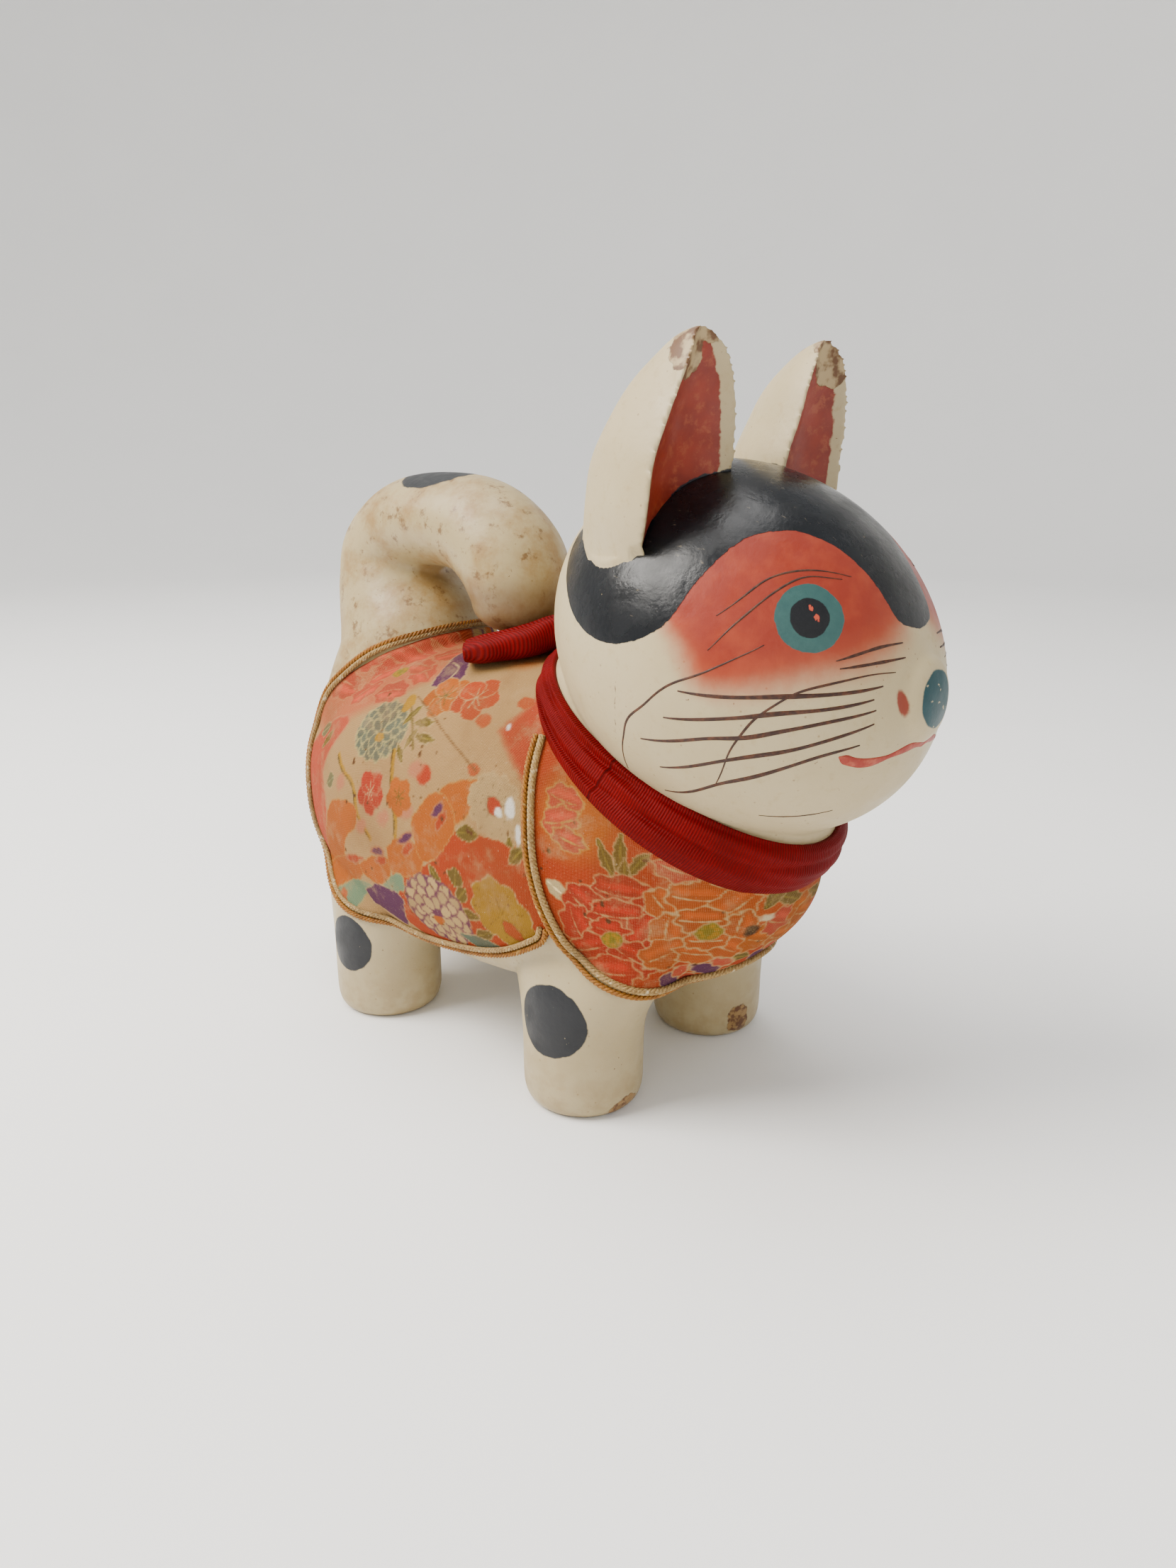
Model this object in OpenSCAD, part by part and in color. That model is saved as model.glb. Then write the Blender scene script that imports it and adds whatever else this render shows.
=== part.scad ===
// Papier-mache dog: a standing dog in a cloth coat with corded edges and a ribbon at the neck.
// It faces -Y, Z is up, sizes are millimetres. The origin is on the ground under its middle.
// The moulded parts are hollow paper shells, made in halves and joined by strips inside.

/* [Trunk] */
// Length of the trunk from chest to rump
trunk_l = 220; // [214:1:224]
// Greatest width of the trunk
trunk_w = 114; // [110:1:118]
// Height of the middle of the trunk above the ground
trunk_z = 77; // [75:1:79]
// Height of the trunk above its middle
back_h = 58; // [56:1:60]
// Depth of the trunk below its middle
belly_h = 52; // [48:1:54]
// Thickness of the moulded paper
wall = 3; // [2.4:0.2:3.6]

/* [Head] */
// Greatest width of the head
head_w = 103; // [99:1:106]
// Length of the head along its own axis
head_l = 123; // [120:1:126]
// Thickness of the head across its own axis
head_t = 101; // [98:1:104]
// Nose-down tilt of the head's axis
head_tilt = 29; // [26:1:32]

/* [Ears] */
// Height of the ear tips above the ground
ear_tip_z = 232; // [226:1:238]
// Depth of the hollow in the front of each ear
ear_hollow = 8; // [5:1:10]

/* [Legs] */
// Distance between the left and right feet, centre to centre
track = 68; // [66:1:70]
// Distance between the front and rear feet, centre to centre
wheelbase = 99; // [96:1:102]
// Radius of a foot
foot_r = 19.5; // [18:0.5:20.5]

/* [Tail] */
// Height of the top of the tail's arch above the ground
tail_top_z = 193; // [189:1:197]

/* [Coat and ribbon] */
// Thickness of the coat's cloth
cloth_t = 1; // [0.8:0.1:1.4]
// Diameter of an edging cord
cord_d = 2; // [1.6:0.1:2.2]
// Thickness of the ribbon with its folds
ribbon_t = 1.4; // [1:0.1:1.8]

/* [Hidden] */

cream = "#e9dfc4";
paper = "#b9a888";
red_cloth = "#d9603a";
gold = "#c08a35";
beige = "#cdb585";
red = "#a5121c";

big = 400;
strip_t = 1;
strip_w = 14;
collar_t = 2;
cord_lift = cloth_t + cord_d / 2;
cord_gap = 0.1;
over_back = 10;
// How many of the tail's rings, from its tip, are clear of the back.
arch_rings = 16;

// Trunk: ellipses of the side view, squarer in section, with both ends lifted a little.
trunk_y = 19;
chest_blunt = 2.15;
rump_blunt = 2.0;
back_square = 2.3;
belly_square = 2.5;
end_lift = 3.7;

// Head: the middle of the egg, the place where its two halves meet, and the nose on its front.
head_y = -67;
head_z = 146.4;
head_seam = 2;
nose_y = -54;
nose_z = 22;
nose_r = 11;

// Neck: rings from inside the trunk to inside the head.
// Each is [y, z, tilt, half width, half length].
neck_rings = [[-42, 98, 33, 41, 45], [-46, 106, 33, 46, 54], [-48.5, 111.5, 28, 41.5, 55],
    [-50, 117, 26, 37.5, 54], [-52, 124, 25, 36, 47]];
neck_low = neck_rings[1];
neck_mid = neck_rings[2];
neck_top = neck_rings[3];

// Legs: rings up each leg, [z, middle x, half width, half length] with the foot's radius as 1.
leg_rings = [[0, 0, 0.85, 0.85], [1.5, 0, 0.93, 0.93], [5, 0, 0.99, 0.99], [12, 0, 1, 1],
    [24, 0, 0.99, 1.02], [32, -0.5, 0.99, 1.1], [40, -2, 1, 1.3], [48, -5, 1.02, 1.6], [58, -10, 1.05, 1.9]];
legs_y = 15.5;

// Tail: rings along the arch, [y, z, half width, half thickness], from its wide foot on the back.
// The arch above arch_z moves with the tail's height.
arch_z = 162;
arch_top_z = 193;
tail_rings = [for (r = [[79, 100, 41, 35], [80, 112, 38, 34], [81, 126, 31.5, 31.8], [82.5, 134, 28.5, 30],
    [85, 140, 26.5, 27.5], [88, 147, 24.5, 24.5], [90.5, 156, 22.3, 21.7], [90, 165, 20.5, 19],
    [78, 174.5, 20, 17], [60, 177, 20, 16.5], [42, 174.5, 20, 17], [29, 165, 20, 17.5],
    [25, 154, 19, 16.5], [27, 147.5, 17, 14.5], [28, 144, 13.5, 11]])
    [r[0], r[1] + (r[1] > arch_z ? tail_top_z - arch_top_z : 0), r[2], r[3]]];

// Ears: rings up the right ear, [z, inner x, inner y, outer x, outer y, depth], tip at z = 1.
ear_base_z = 166;
ear_rings = [[0, 13, -64, 42, -58, 30], [0.16, 13, -68, 45, -64, 32], [0.32, 13, -70, 47.5, -68, 33],
    [0.5, 13, -71, 47, -69.5, 32.5], [0.66, 15.5, -73, 44.5, -72, 29.5], [0.8, 18, -74, 41, -73.5, 24.5],
    [0.91, 21.5, -74, 37.5, -74, 16.5], [0.97, 25, -73, 35, -73, 9.5], [1, 28.5, -72, 32, -72, 3]];

// Coat edges on the right side, [y, angle round the trunk], 0 at the side and 90 at the back.
// The saddle's front edge lies along the bib's, down to its own lower front corner.
bib_edge = [[-21.9, 39.6], [-23.8, 29.4], [-26.1, 18.9], [-28.3, 6.5], [-30.2, 0.4], [-33, -6.1],
    [-36.2, -14.5], [-39, -21.5], [-46, -31], [-54, -40.5], [-62, -54], [-68, -68], [-71.5, -80], [-72.5, -90]];
saddle_gap = 0.3;
saddle_front = [for (i = [0 : 5]) bib_edge[i] + [saddle_gap, 0]];
saddle_side = [[-34.6, -13.5], [-33, -18], [-28, -21.6], [-19, -27], [-8, -31], [5, -33.5], [20, -36.5],
    [40, -39.5], [58, -40], [72, -38.5], [84, -31], [92, -20], [98, -8], [100, 5], [99.5, 20], [97, 34]];
// Where its rear edge climbs the foot of the tail and crosses the back, [x, y, z].
saddle_top = [[-33.5, 92, 112], [-31.5, 86, 119.5], [-30, 79, 127], [-25, 70.5, 134], [-15, 62, 138.5],
    [0, 59, 140]];

// Ribbon loops: rings out from the knot, [x, y, z, half width, half thickness].
loop_rings = [[-2, 3, 141, 3, 2], [-7, 6, 141, 5, 2.2], [-13, 11, 138.5, 7, 2.2], [-19, 18, 136.5, 8, 2],
    [-24, 25, 135, 8, 1.8], [-28, 30, 134.3, 6, 1.2]];

function signed_power(v, p) = sign(v) * pow(abs(v), p);

// Points on a smooth curve through those given, with steps of it in each gap.
function smooth(p, steps) = let (n = len(p)) concat(
    [for (i = [0 : n - 2], j = [0 : steps - 1])
        let (a = p[max(i - 1, 0)], b = p[i], c = p[i + 1], d = p[min(i + 2, n - 1)], t = j / steps)
        b + (c - a) * t / 2 + (2 * a - 5 * b + 4 * c - d) * t * t / 2
            + (3 * b - a - 3 * c + d) * t * t * t / 2],
    [p[n - 1]]);

// The trunk's size at y, grown by g: 1 at its widest, 0 at its ends.
function trunk_along(y, g) = (y - trunk_y) / (trunk_l / 2 + g);
function trunk_blunt(y) = y < trunk_y ? chest_blunt : rump_blunt;
function trunk_size(y, g) = let (u = min(abs(trunk_along(y, g)), 1), e = trunk_blunt(y))
    pow(1 - pow(u, e), 1 / e);
function trunk_mid(y, g) = trunk_z + end_lift * pow(min(abs(trunk_along(y, g)), 1), trunk_blunt(y));

// A point of the trunk's surface, grown by g, at y and an angle round the section.
function trunk_point(y, angle, g) = let (s = trunk_size(y, g), up = sin(angle) > 0)
    [-(trunk_w / 2 + g) * s * signed_power(cos(angle), 2 / (up ? back_square : belly_square)),
     y,
     trunk_mid(y, g) + ((up ? back_h : belly_h) + g) * s
         * signed_power(sin(angle), 2 / (up ? back_square : belly_square))];

// How far out the leg's side reaches at y and z.
function leg_reach(y, z) = let (
    front = abs(y - legs_y + wheelbase / 2) < abs(y - legs_y - wheelbase / 2) ? -1 : 1,
    from_mid = y - legs_y - front * wheelbase / 2,
    half_l = foot_r * lookup(z, [for (r = leg_rings) [r[0], r[3]]]),
    half_w = foot_r * lookup(z, [for (r = leg_rings) [r[0], r[2]]]),
    mid = track / 2 + lookup(z, [for (r = leg_rings) [r[0], r[1]]]))
    z > 58 || abs(from_mid) >= half_l ? 0 : mid + half_w * sqrt(1 - pow(from_mid / half_l, 2));

// A point of the coat's edge, pushed out to the leg where the leg stands proud.
function coat_point(e, g) = let (p = trunk_point(e[0], e[1], g), reach = leg_reach(p[1], p[2]))
    [sign(p[0]) * max(abs(p[0]), reach > 0 ? reach + g : 0), p[1], p[2]];

function total(points) = [for (c = [0 : 2]) [for (p = points) p[c]] * [for (p = points) 1]];
function middle(ring) = total(ring) / len(ring);
function facing(ring) = let (m = middle(ring), n = len(ring))
    total([for (i = [0 : n - 1]) cross(ring[i] - m, ring[(i + 1) % n] - m)]);
function reversed(ring) = [for (i = [len(ring) - 1 : -1 : 0]) ring[i]];

// A closed skin over rings of equal length, with flat ends. The rings may turn either way.
module skin(rings) {
    n = len(rings[0]);
    k = len(rings);
    h = floor(k / 2);
    ahead = facing(rings[h]) * (middle(rings[h]) - middle(rings[h - 1])) > 0;
    points = concat([middle(rings[0])], [for (r = rings) each (ahead ? r : reversed(r))], [middle(rings[k - 1])]);
    first = [for (i = [0 : n - 1]) [0, 1 + i, 1 + (i + 1) % n]];
    side = [for (j = [0 : k - 2], i = [0 : n - 1]) let (a = 1 + j * n, b = a + n, s = (i + 1) % n)
        each [[a + i, b + i, a + s], [a + s, b + i, b + s]]];
    last = [for (i = [0 : n - 1]) let (a = 1 + (k - 1) * n) [a + (i + 1) % n, a + i, len(points) - 1]];
    polyhedron(points, concat(first, side, last));
}

// A closed skin over rings that follow each other round a loop.
module loop_skin(rings) {
    n = len(rings[0]);
    k = len(rings);
    points = [for (r = rings) each r];
    polyhedron(points, [for (j = [0 : k - 1], i = [0 : n - 1])
        let (a = j * n, b = (j + 1) % k * n, s = (i + 1) % n)
        each [[a + i, b + i, a + s], [a + s, b + i, b + s]]]);
}

// One surface for a moulded part, joined from the forms inside it.
module moulded() {
    resize([0, 0, 0]) children();
}

module trunk_form(g, n = 32, k = 18) {
    skin([for (j = [0 : k])
        let (t = 180 * (j + 0.12) / (k + 0.24), e = cos(t) > 0 ? chest_blunt : rump_blunt,
            y = trunk_y - (trunk_l / 2 + g) * signed_power(cos(t), 2 / e))
        [for (i = [0 : n - 1]) trunk_point(y, 180 - 360 * i / n, g)]]);
}

// The neck's ring: half its width and length grown by g.
function neck_ring(r, g, n) = [for (i = [0 : n - 1]) let (a = 360 * i / n, v = (r[4] + g) * sin(a))
    [(r[3] + g) * cos(a), r[0] + v * cos(r[2]), r[1] + v * sin(r[2])]];

module neck_form(g, n = 32) {
    skin([for (r = smooth(neck_rings, 1)) neck_ring(r, g - ribbon_t, n)]);
}

// The space above the slanting plane where the head meets the trunk, moved along it by lift.
module above_neck(lift = 0) {
    translate([0, neck_mid[0], neck_mid[1]]) rotate([neck_mid[2], 0, 0])
        translate([-big / 2, -big / 2, lift]) cube(big);
}

module leg_form(side, front, g, n = 18) {
    skin([for (r = leg_rings) let (z = max(r[0], -g))
        [for (i = [0 : n - 1])
            [side * (track / 2 + r[1]) + (foot_r * r[2] + g) * cos(-360 * i / n),
             legs_y + front * wheelbase / 2 + (foot_r * r[3] + g) * sin(-360 * i / n), z]]]);
}

module legs(g, n = 18) {
    for (side = [-1, 1], front = [-1, 1]) leg_form(side, front, g, n);
}

module body_shell() {
    difference() {
        union() {
            trunk_form(0);
            neck_form(0);
            legs(0);
        }
        trunk_form(-wall, 24, 12);
        neck_form(-wall, 24);
        legs(-wall, 12);
        above_neck();
    }
}

module half_space(side) {
    translate([side > 0 ? 0 : -big, -big / 2, -big / 2]) cube(big);
}

module body_half(side) {
    color(cream) moulded() intersection() {
        body_shell();
        half_space(side);
    }
}

module body_lap_strip() {
    color(paper) moulded() difference() {
        intersection() {
            trunk_form(-wall, 24, 12);
            cube([strip_w, big, big], center = true);
        }
        trunk_form(-wall - strip_t, 24, 12);
        translate([0, 0, -trunk_z]) above_neck(trunk_z - 2 * strip_w);
        neck_form(-wall, 24);
    }
}

// The head's egg in its own frame, nose towards -Y, grown by g.
module head_egg(g, n = 36, k = 20) {
    skin([for (j = [0 : k]) let (t = 180 * (j + 0.12) / (k + 0.24))
        [for (i = [0 : n - 1]) let (a = -360 * i / n)
            [(head_w / 2 + g) * sin(t) * cos(a), -(head_l / 2 + g) * cos(t),
             (head_t / 2 + g) * sin(t) * sin(a)]]]);
}

module head_place() {
    translate([0, head_y, head_z]) rotate([head_tilt, 0, 0]) children();
}

module head_shell() {
    intersection() {
        difference() {
            union() {
                head_place() head_egg(0);
                head_place() translate([0, nose_y, nose_z]) rotate([-31, 0, 0]) scale([1, 0.35, 1.05])
                    sphere(nose_r, $fn = 20);
                neck_form(0);
            }
            head_place() head_egg(-wall, 24, 12);
            neck_form(-wall, 24);
        }
        above_neck();
    }
}

module head_part(side) {
    color(cream) moulded() intersection() {
        head_shell();
        head_place() translate([-big / 2, side > 0 ? head_seam : head_seam - big, -big / 2]) cube(big);
    }
}

module head_lap_strip() {
    color(paper) moulded() difference() {
        head_place() intersection() {
            head_egg(-wall, 24, 12);
            translate([0, head_seam, 0]) cube([big, strip_w, big], center = true);
        }
        head_place() head_egg(-wall - strip_t, 24, 12);
        neck_form(-wall, 24);
    }
}

module neck_collar() {
    color(paper) moulded() intersection() {
        difference() {
            neck_form(-wall, 24);
            neck_form(-wall - collar_t, 24);
        }
        difference() {
            above_neck(-7);
            above_neck(7);
        }
    }
}

// An ear's ring at r: round behind, hollowed in front, shrunk by s.
function ear_ring(side, r, s, n) = let (
    z = ear_base_z + (ear_tip_z - ear_base_z) * r[0],
    mid = [(r[1] + r[3]) / 2, (r[2] + r[4]) / 2],
    half = [(r[3] - r[1]) / 2 - s, (r[4] - r[2]) / 2],
    hollow = ear_hollow * min(1, half[0] / 14))
    [for (i = [0 : n - 1]) let (a = 360 * i / n,
        back = (0.93 * r[5] - 2 * s) * (1 + 0.22 * cos(a)),
        y = s + (sin(a) > 0 ? back * sin(a) : hollow * sin(a) * sin(a)))
        [side * (mid[0] + half[0] * cos(a)), mid[1] + half[1] * cos(a) + y, z]];

module ear_solid(side, s) {
    rings = smooth(ear_rings, 2);
    shown = s > 0 ? [for (r = rings) if (r[0] < 0.86) r] : rings;
    skin([for (r = shown) ear_ring(side, r, s, 26)]);
}

module ear(side) {
    color(cream) moulded() difference() {
        ear_solid(side, 0);
        intersection() {
            ear_solid(side, 2.5);
            translate([0, 2.5 + ear_hollow / 3, 0]) ear_solid(side, 2.5);
        }
        head_place() head_egg(0);
    }
}

// A skin along the tail, shrunk by s, with its rings square to the arch.
module tail_tube(s, n = 24, start = 0, ends = 0) {
    p = smooth(tail_rings, 2);
    k = len(p);
    kept = [start : k - 1 - ends];
    skin([for (i = kept) let (
        ahead = p[min(i + 1, k - 1)],
        behind = p[max(i - 1, 0)],
        run = [ahead[0] - behind[0], ahead[1] - behind[1]] / norm([ahead[0] - behind[0], ahead[1] - behind[1]]))
        [for (j = [0 : n - 1]) let (a = -360 * j / n, v = (p[i][3] - s) * sin(a))
            [(p[i][2] - s) * cos(a), p[i][0] - run[1] * v, p[i][1] + run[0] * v]]]);
}

module tail_half(side) {
    color(cream) moulded() intersection() {
        difference() {
            tail_tube(0);
            tail_tube(wall, 18, 0, 3);
            trunk_form(0);
        }
        half_space(side);
    }
}

module tail_lap_strip() {
    color(paper) moulded() intersection() {
        difference() {
            tail_tube(wall, 18, 4, 5);
            tail_tube(wall + strip_t, 18, 3, 4);
        }
        cube([strip_w, big, big], center = true);
    }
}

// The coat's edges on the right side as points, g off the surface.
function bib_line(g) = [for (e = bib_edge) coat_point(e, g)];
function saddle_line(g) = concat([for (e = saddle_side) coat_point(e, g)],
    [for (p = saddle_top) let (v = p - [0, p[1], trunk_z]) p + g * v / norm(v)]);

// Both sides of an edge: the right side's points, then the left side's mirrored.
function both_sides(line) = concat(line, [for (i = [len(line) - 2 : -1 : 0]) [-line[i][0], line[i][1], line[i][2]]]);

// An edge seen from the side, as [y, z].
function side_view(line) = [for (p = smooth(line, 3)) [p[1], p[2]]];

module panel(outline) {
    difference() {
        intersection() {
            difference() {
                union() {
                    trunk_form(cloth_t);
                    legs(cloth_t);
                    tail_tube(-cloth_t, 24, 0, arch_rings);
                }
                trunk_form(0);
                legs(0);
                tail_tube(0, 24, 0, arch_rings);
                neck_form(ribbon_t);
            }
            rotate([90, 0, 90]) translate([0, 0, -big / 2]) linear_extrude(big) polygon(outline);
        }
        above_neck(-2);
    }
}

module coat_saddle() {
    front = side_view([for (e = saddle_front) coat_point(e, 0)]);
    edge = side_view(saddle_line(0));
    over = edge[len(edge) - 1];
    color(red_cloth) moulded()
        panel(concat(front, edge, [[over[0], over[1] + over_back], [front[0][0], over[1] + over_back]]));
}

module coat_bib() {
    edge = side_view(bib_line(0));
    ahead = trunk_y - trunk_l;
    color(red_cloth) moulded()
        panel(concat(edge, [[ahead, edge[len(edge) - 1][1]], [ahead, head_z], [edge[0][0], head_z]]));
}

// A cord along a coat's edge, given as points at the height of its middle, set inset in from it.
module coat_cord(edge, inset, steps, n = 6) {
    line = smooth(both_sides(edge), steps);
    k = len(line);
    turn = [for (i = [0 : k - 1]) let (d = line[min(i + 1, k - 1)] - line[max(i - 1, 0)]) d / norm(d)];
    // Straight out from the trunk's middle line, square to the cord.
    out = [for (i = [0 : k - 1]) let (
        v = line[i] - [0, trunk_y + (line[i][1] - trunk_y) * 0.75, trunk_z],
        w = v - turn[i] * (v * turn[i])) w / norm(w)];
    across = [for (i = [0 : k - 1]) cross(turn[i], out[i])];
    kept = [for (i = [0 : k - 1]) if (below_ribbon(line[i])) i];
    skin([for (i = kept) let (c = line[i] + across[i] * inset)
        [for (j = [0 : n - 1]) let (a = 360 * j / n) c + (across[i] * cos(a) + out[i] * sin(a)) * cord_d / 2]]);
}

// True where a point is clear of the ribbon.
function below_ribbon(p) = (p[1] - neck_mid[0]) * -sin(neck_mid[2]) + (p[2] - neck_mid[1]) * cos(neck_mid[2]) < -4;

module saddle_outer_cord() {
    color(gold) coat_cord(saddle_line(cord_lift), 0, 2);
}

module saddle_inner_cord() {
    color(beige) coat_cord(saddle_line(cord_lift), cord_d + cord_gap, 2);
}

module bib_outer_cord() {
    color(gold) coat_cord(bib_line(cord_lift), 0, 3);
}

module bib_inner_cord() {
    color(beige) coat_cord(bib_line(cord_lift), -cord_d - cord_gap, 3);
}

// The ribbon's cross-section at an angle round the neck: outside from top to bottom, then back inside.
function ribbon_section(a) = let (
    at = function (r, g) [(r[3] + g) * cos(a), r[0] + (r[4] + g) * sin(a) * cos(r[2]),
        r[1] + (r[4] + g) * sin(a) * sin(r[2])])
    [at(neck_top, 0), at(neck_mid, 0.4), at(neck_low, 0),
     at(neck_low, -ribbon_t + 0.05), at(neck_mid, -ribbon_t + 0.05), at(neck_top, -ribbon_t + 0.05)];

module neck_ribbon(n = 60) {
    color(red) loop_skin([for (i = [0 : n - 1]) ribbon_section(360 * i / n)]);
}

module bow_knot() {
    color(red) translate([0, 5, 141]) rotate([-8, 0, 0]) scale([6.5, 4, 5]) sphere(1, $fn = 24);
}

// A flattened ribbon loop lying back over the coat.
module bow_loop(side) {
    p = smooth(loop_rings, 3);
    k = len(p);
    n = 14;
    rings = [for (i = [0 : k - 1]) let (
        d = p[min(i + 1, k - 1)] - p[max(i - 1, 0)],
        run = [d[0], d[1], d[2]] / norm([d[0], d[1], d[2]]),
        level = cross([0, 0, 1], run) / norm(cross([0, 0, 1], run)),
        up = cross(run, level))
        [for (j = [0 : n - 1]) let (a = 360 * j / n,
            q = [p[i][0], p[i][1], p[i][2]] + level * p[i][3] * cos(a) + up * p[i][4] * sin(a))
            [-side * q[0], q[1], q[2]]]];
    color(red) skin(rings);
}

body_half(-1);  // body_right_shell
body_half(1);  // body_left_shell
body_lap_strip();
head_part(-1);  // head_face_shell
head_part(1);  // head_back_shell
head_lap_strip();
neck_collar();
ear(-1);  // ear_right
ear(1);  // ear_left
tail_half(-1);  // tail_right_shell
tail_half(1);  // tail_left_shell
tail_lap_strip();
coat_saddle();
coat_bib();
saddle_outer_cord();
saddle_inner_cord();
bib_outer_cord();
bib_inner_cord();
neck_ribbon();
bow_knot();
bow_loop(-1);  // bow_loop_right
bow_loop(1);  // bow_loop_left
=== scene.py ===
"""Papier-mache dog with a printed cloth coat, corded edges and a ribbon: its looks, around the CAD frame.

Lengths are millimetres, in the CAD's own frame, until build() turns them into metres.
"""
import math
import bpy
import bmesh
import numpy as np
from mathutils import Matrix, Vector
from mathutils.bvhtree import BVHTree


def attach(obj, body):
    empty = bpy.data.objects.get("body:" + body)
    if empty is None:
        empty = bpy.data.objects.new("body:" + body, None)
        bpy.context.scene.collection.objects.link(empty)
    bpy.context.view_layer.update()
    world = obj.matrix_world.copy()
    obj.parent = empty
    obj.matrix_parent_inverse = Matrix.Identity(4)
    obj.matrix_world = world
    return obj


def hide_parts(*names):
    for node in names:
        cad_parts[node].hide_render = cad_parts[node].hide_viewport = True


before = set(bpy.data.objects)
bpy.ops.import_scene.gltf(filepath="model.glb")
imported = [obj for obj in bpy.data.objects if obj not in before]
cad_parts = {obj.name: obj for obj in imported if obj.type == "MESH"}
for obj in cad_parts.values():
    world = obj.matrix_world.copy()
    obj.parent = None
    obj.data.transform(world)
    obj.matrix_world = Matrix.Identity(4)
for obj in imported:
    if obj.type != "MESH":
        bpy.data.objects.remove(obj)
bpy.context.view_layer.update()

MM = 0.001
SIDES = ((-1, "right"), (1, "left"))

# ---------------------------------------------------------------- sizes, as in the CAD source
TRUNK_Y, TRUNK_Z = 19.0, 77.0
TRUNK_HALF_L, TRUNK_HALF_W = 110.0, 57.0
BACK_H, BELLY_H = 58.0, 52.0
CHEST_BLUNT, RUMP_BLUNT = 2.15, 2.0
BACK_SQUARE, BELLY_SQUARE = 2.3, 2.5
END_LIFT = 3.7
WALL = 3.0
CLOTH = 1.0
RIBBON = 1.4

HEAD_MID = np.array([0.0, -67.0, 146.4])
HEAD_HALF = np.array([51.5, 61.5, 50.5])
HEAD_TILT = math.radians(29)
HEAD_SEAM = 2.0

# Neck: [y, z, tilt, half width, half length] of each ring, the ribbon's low, middle and top rings inside.
NECK = np.array([[-42, 98, 33, 41, 45], [-46, 106, 33, 46, 54], [-48.5, 111.5, 28, 41.5, 55],
                 [-50, 117, 26, 37.5, 54], [-52, 124, 25, 36, 47]], float)
LOW, MID, TOP = 1, 2, 3

# Legs: [z, middle x, half width, half length] up each leg, the halves in foot radii.
FOOT_R, TRACK, WHEELBASE, LEGS_Y = 19.5, 68.0, 99.0, 15.5
LEG = np.array([[0, 0, 0.85, 0.85], [1.5, 0, 0.93, 0.93], [5, 0, 0.99, 0.99], [12, 0, 1, 1],
                [24, 0, 0.99, 1.02], [32, -0.5, 0.99, 1.1], [40, -2, 1, 1.3], [48, -5, 1.02, 1.6],
                [58, -10, 1.05, 1.9]])

# Tail: [y, z, half width, half thickness] along the arch.
TAIL = np.array([[79, 100, 41, 35], [80, 112, 38, 34], [81, 126, 31.5, 31.8], [82.5, 134, 28.5, 30],
                 [85, 140, 26.5, 27.5], [88, 147, 24.5, 24.5], [90.5, 156, 22.3, 21.7],
                 [90, 165, 20.5, 19], [78, 174.5, 20, 17], [60, 177, 20, 16.5], [42, 174.5, 20, 17],
                 [29, 165, 20, 17.5], [25, 154, 19, 16.5], [27, 147.5, 17, 14.5], [28, 144, 13.5, 11],
                 [28.6, 142.2, 8, 6]])

# Ears: [z, inner x, inner y, outer x, outer y, depth] up the right ear, z from 0 to 1.
EAR_BASE, EAR_TIP, EAR_HOLLOW = 166.0, 232.0, 8.0
EAR = np.array([[0, 13, -64, 42, -58, 30], [0.16, 13, -68, 45, -64, 32], [0.32, 13, -70, 47.5, -68, 33],
                [0.5, 13, -71, 47, -69.5, 32.5], [0.66, 15.5, -73, 44.5, -72, 29.5],
                [0.8, 18, -74, 41, -73.5, 24.5], [0.91, 21.5, -74, 37.5, -74, 16.5],
                [0.97, 25, -73, 35, -73, 9.5], [1, 28.5, -72, 32, -72, 3]])

# Coat edges on the right side: [y, angle round the trunk], 0 at the side and 90 at the back.
BIB_EDGE = [[-21.9, 39.6], [-23.8, 29.4], [-26.1, 18.9], [-28.3, 6.5], [-30.2, 0.4], [-33, -6.1],
            [-36.2, -14.5], [-39, -21.5], [-46, -31], [-54, -40.5], [-62, -54], [-68, -68],
            [-71.5, -80], [-72.5, -90]]
SADDLE_SIDE = [[-34.6, -13.5], [-33, -18], [-28, -21.6], [-19, -27], [-8, -31], [5, -33.5], [20, -36.5],
               [40, -39.5], [58, -40], [72, -38.5], [84, -31], [92, -20], [98, -8], [100, 5],
               [99.5, 20], [97, 34]]
SADDLE_TOP = [[-33.5, 92, 112], [-32.5, 86, 118.5], [-31, 79, 125.5], [-25, 70.5, 131.5], [-15, 62, 135],
              [0, 59, 136.5]]
SEAM_GAP = 0.3

# Ribbon loop: [x, y, z, half width, half thickness] out from the knot, on the right.
LOOP = np.array([[-2, 3, 141, 3, 2], [-7, 6, 141, 5, 2.2], [-13, 11, 138.5, 7, 2.2],
                 [-19, 18, 136.5, 8, 2], [-24, 25, 135, 8, 1.8], [-28, 30, 134.3, 6, 1.2]])


# ---------------------------------------------------------------- curves and grids
def smooth(points, steps):
    """Points on a smooth curve through those given, with steps of it in each gap."""
    p = np.asarray(points, float)
    t = np.linspace(0, 1, steps, endpoint=False)[:, None]
    last = len(p) - 1
    out = []
    for i in range(last):
        a, b, c, d = p[max(i - 1, 0)], p[i], p[i + 1], p[min(i + 2, last)]
        out.append(b + (c - a) * t / 2 + (2 * a - 5 * b + 4 * c - d) * t**2 / 2
                   + (3 * b - a - 3 * c + d) * t**3 / 2)
    return np.vstack(out + [p[-1:]])


def run_of(line):
    """How far along a line each of its points is."""
    return np.concatenate([[0], np.cumsum(np.linalg.norm(np.diff(line, axis=0), axis=1))])


def read_evenly(line, values, count):
    """Values given at a line's points, read at count places spaced evenly along it."""
    run = run_of(line)
    at = np.linspace(0, run[-1], count)
    return np.stack([np.interp(at, run, v) for v in values.T], axis=1)


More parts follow.
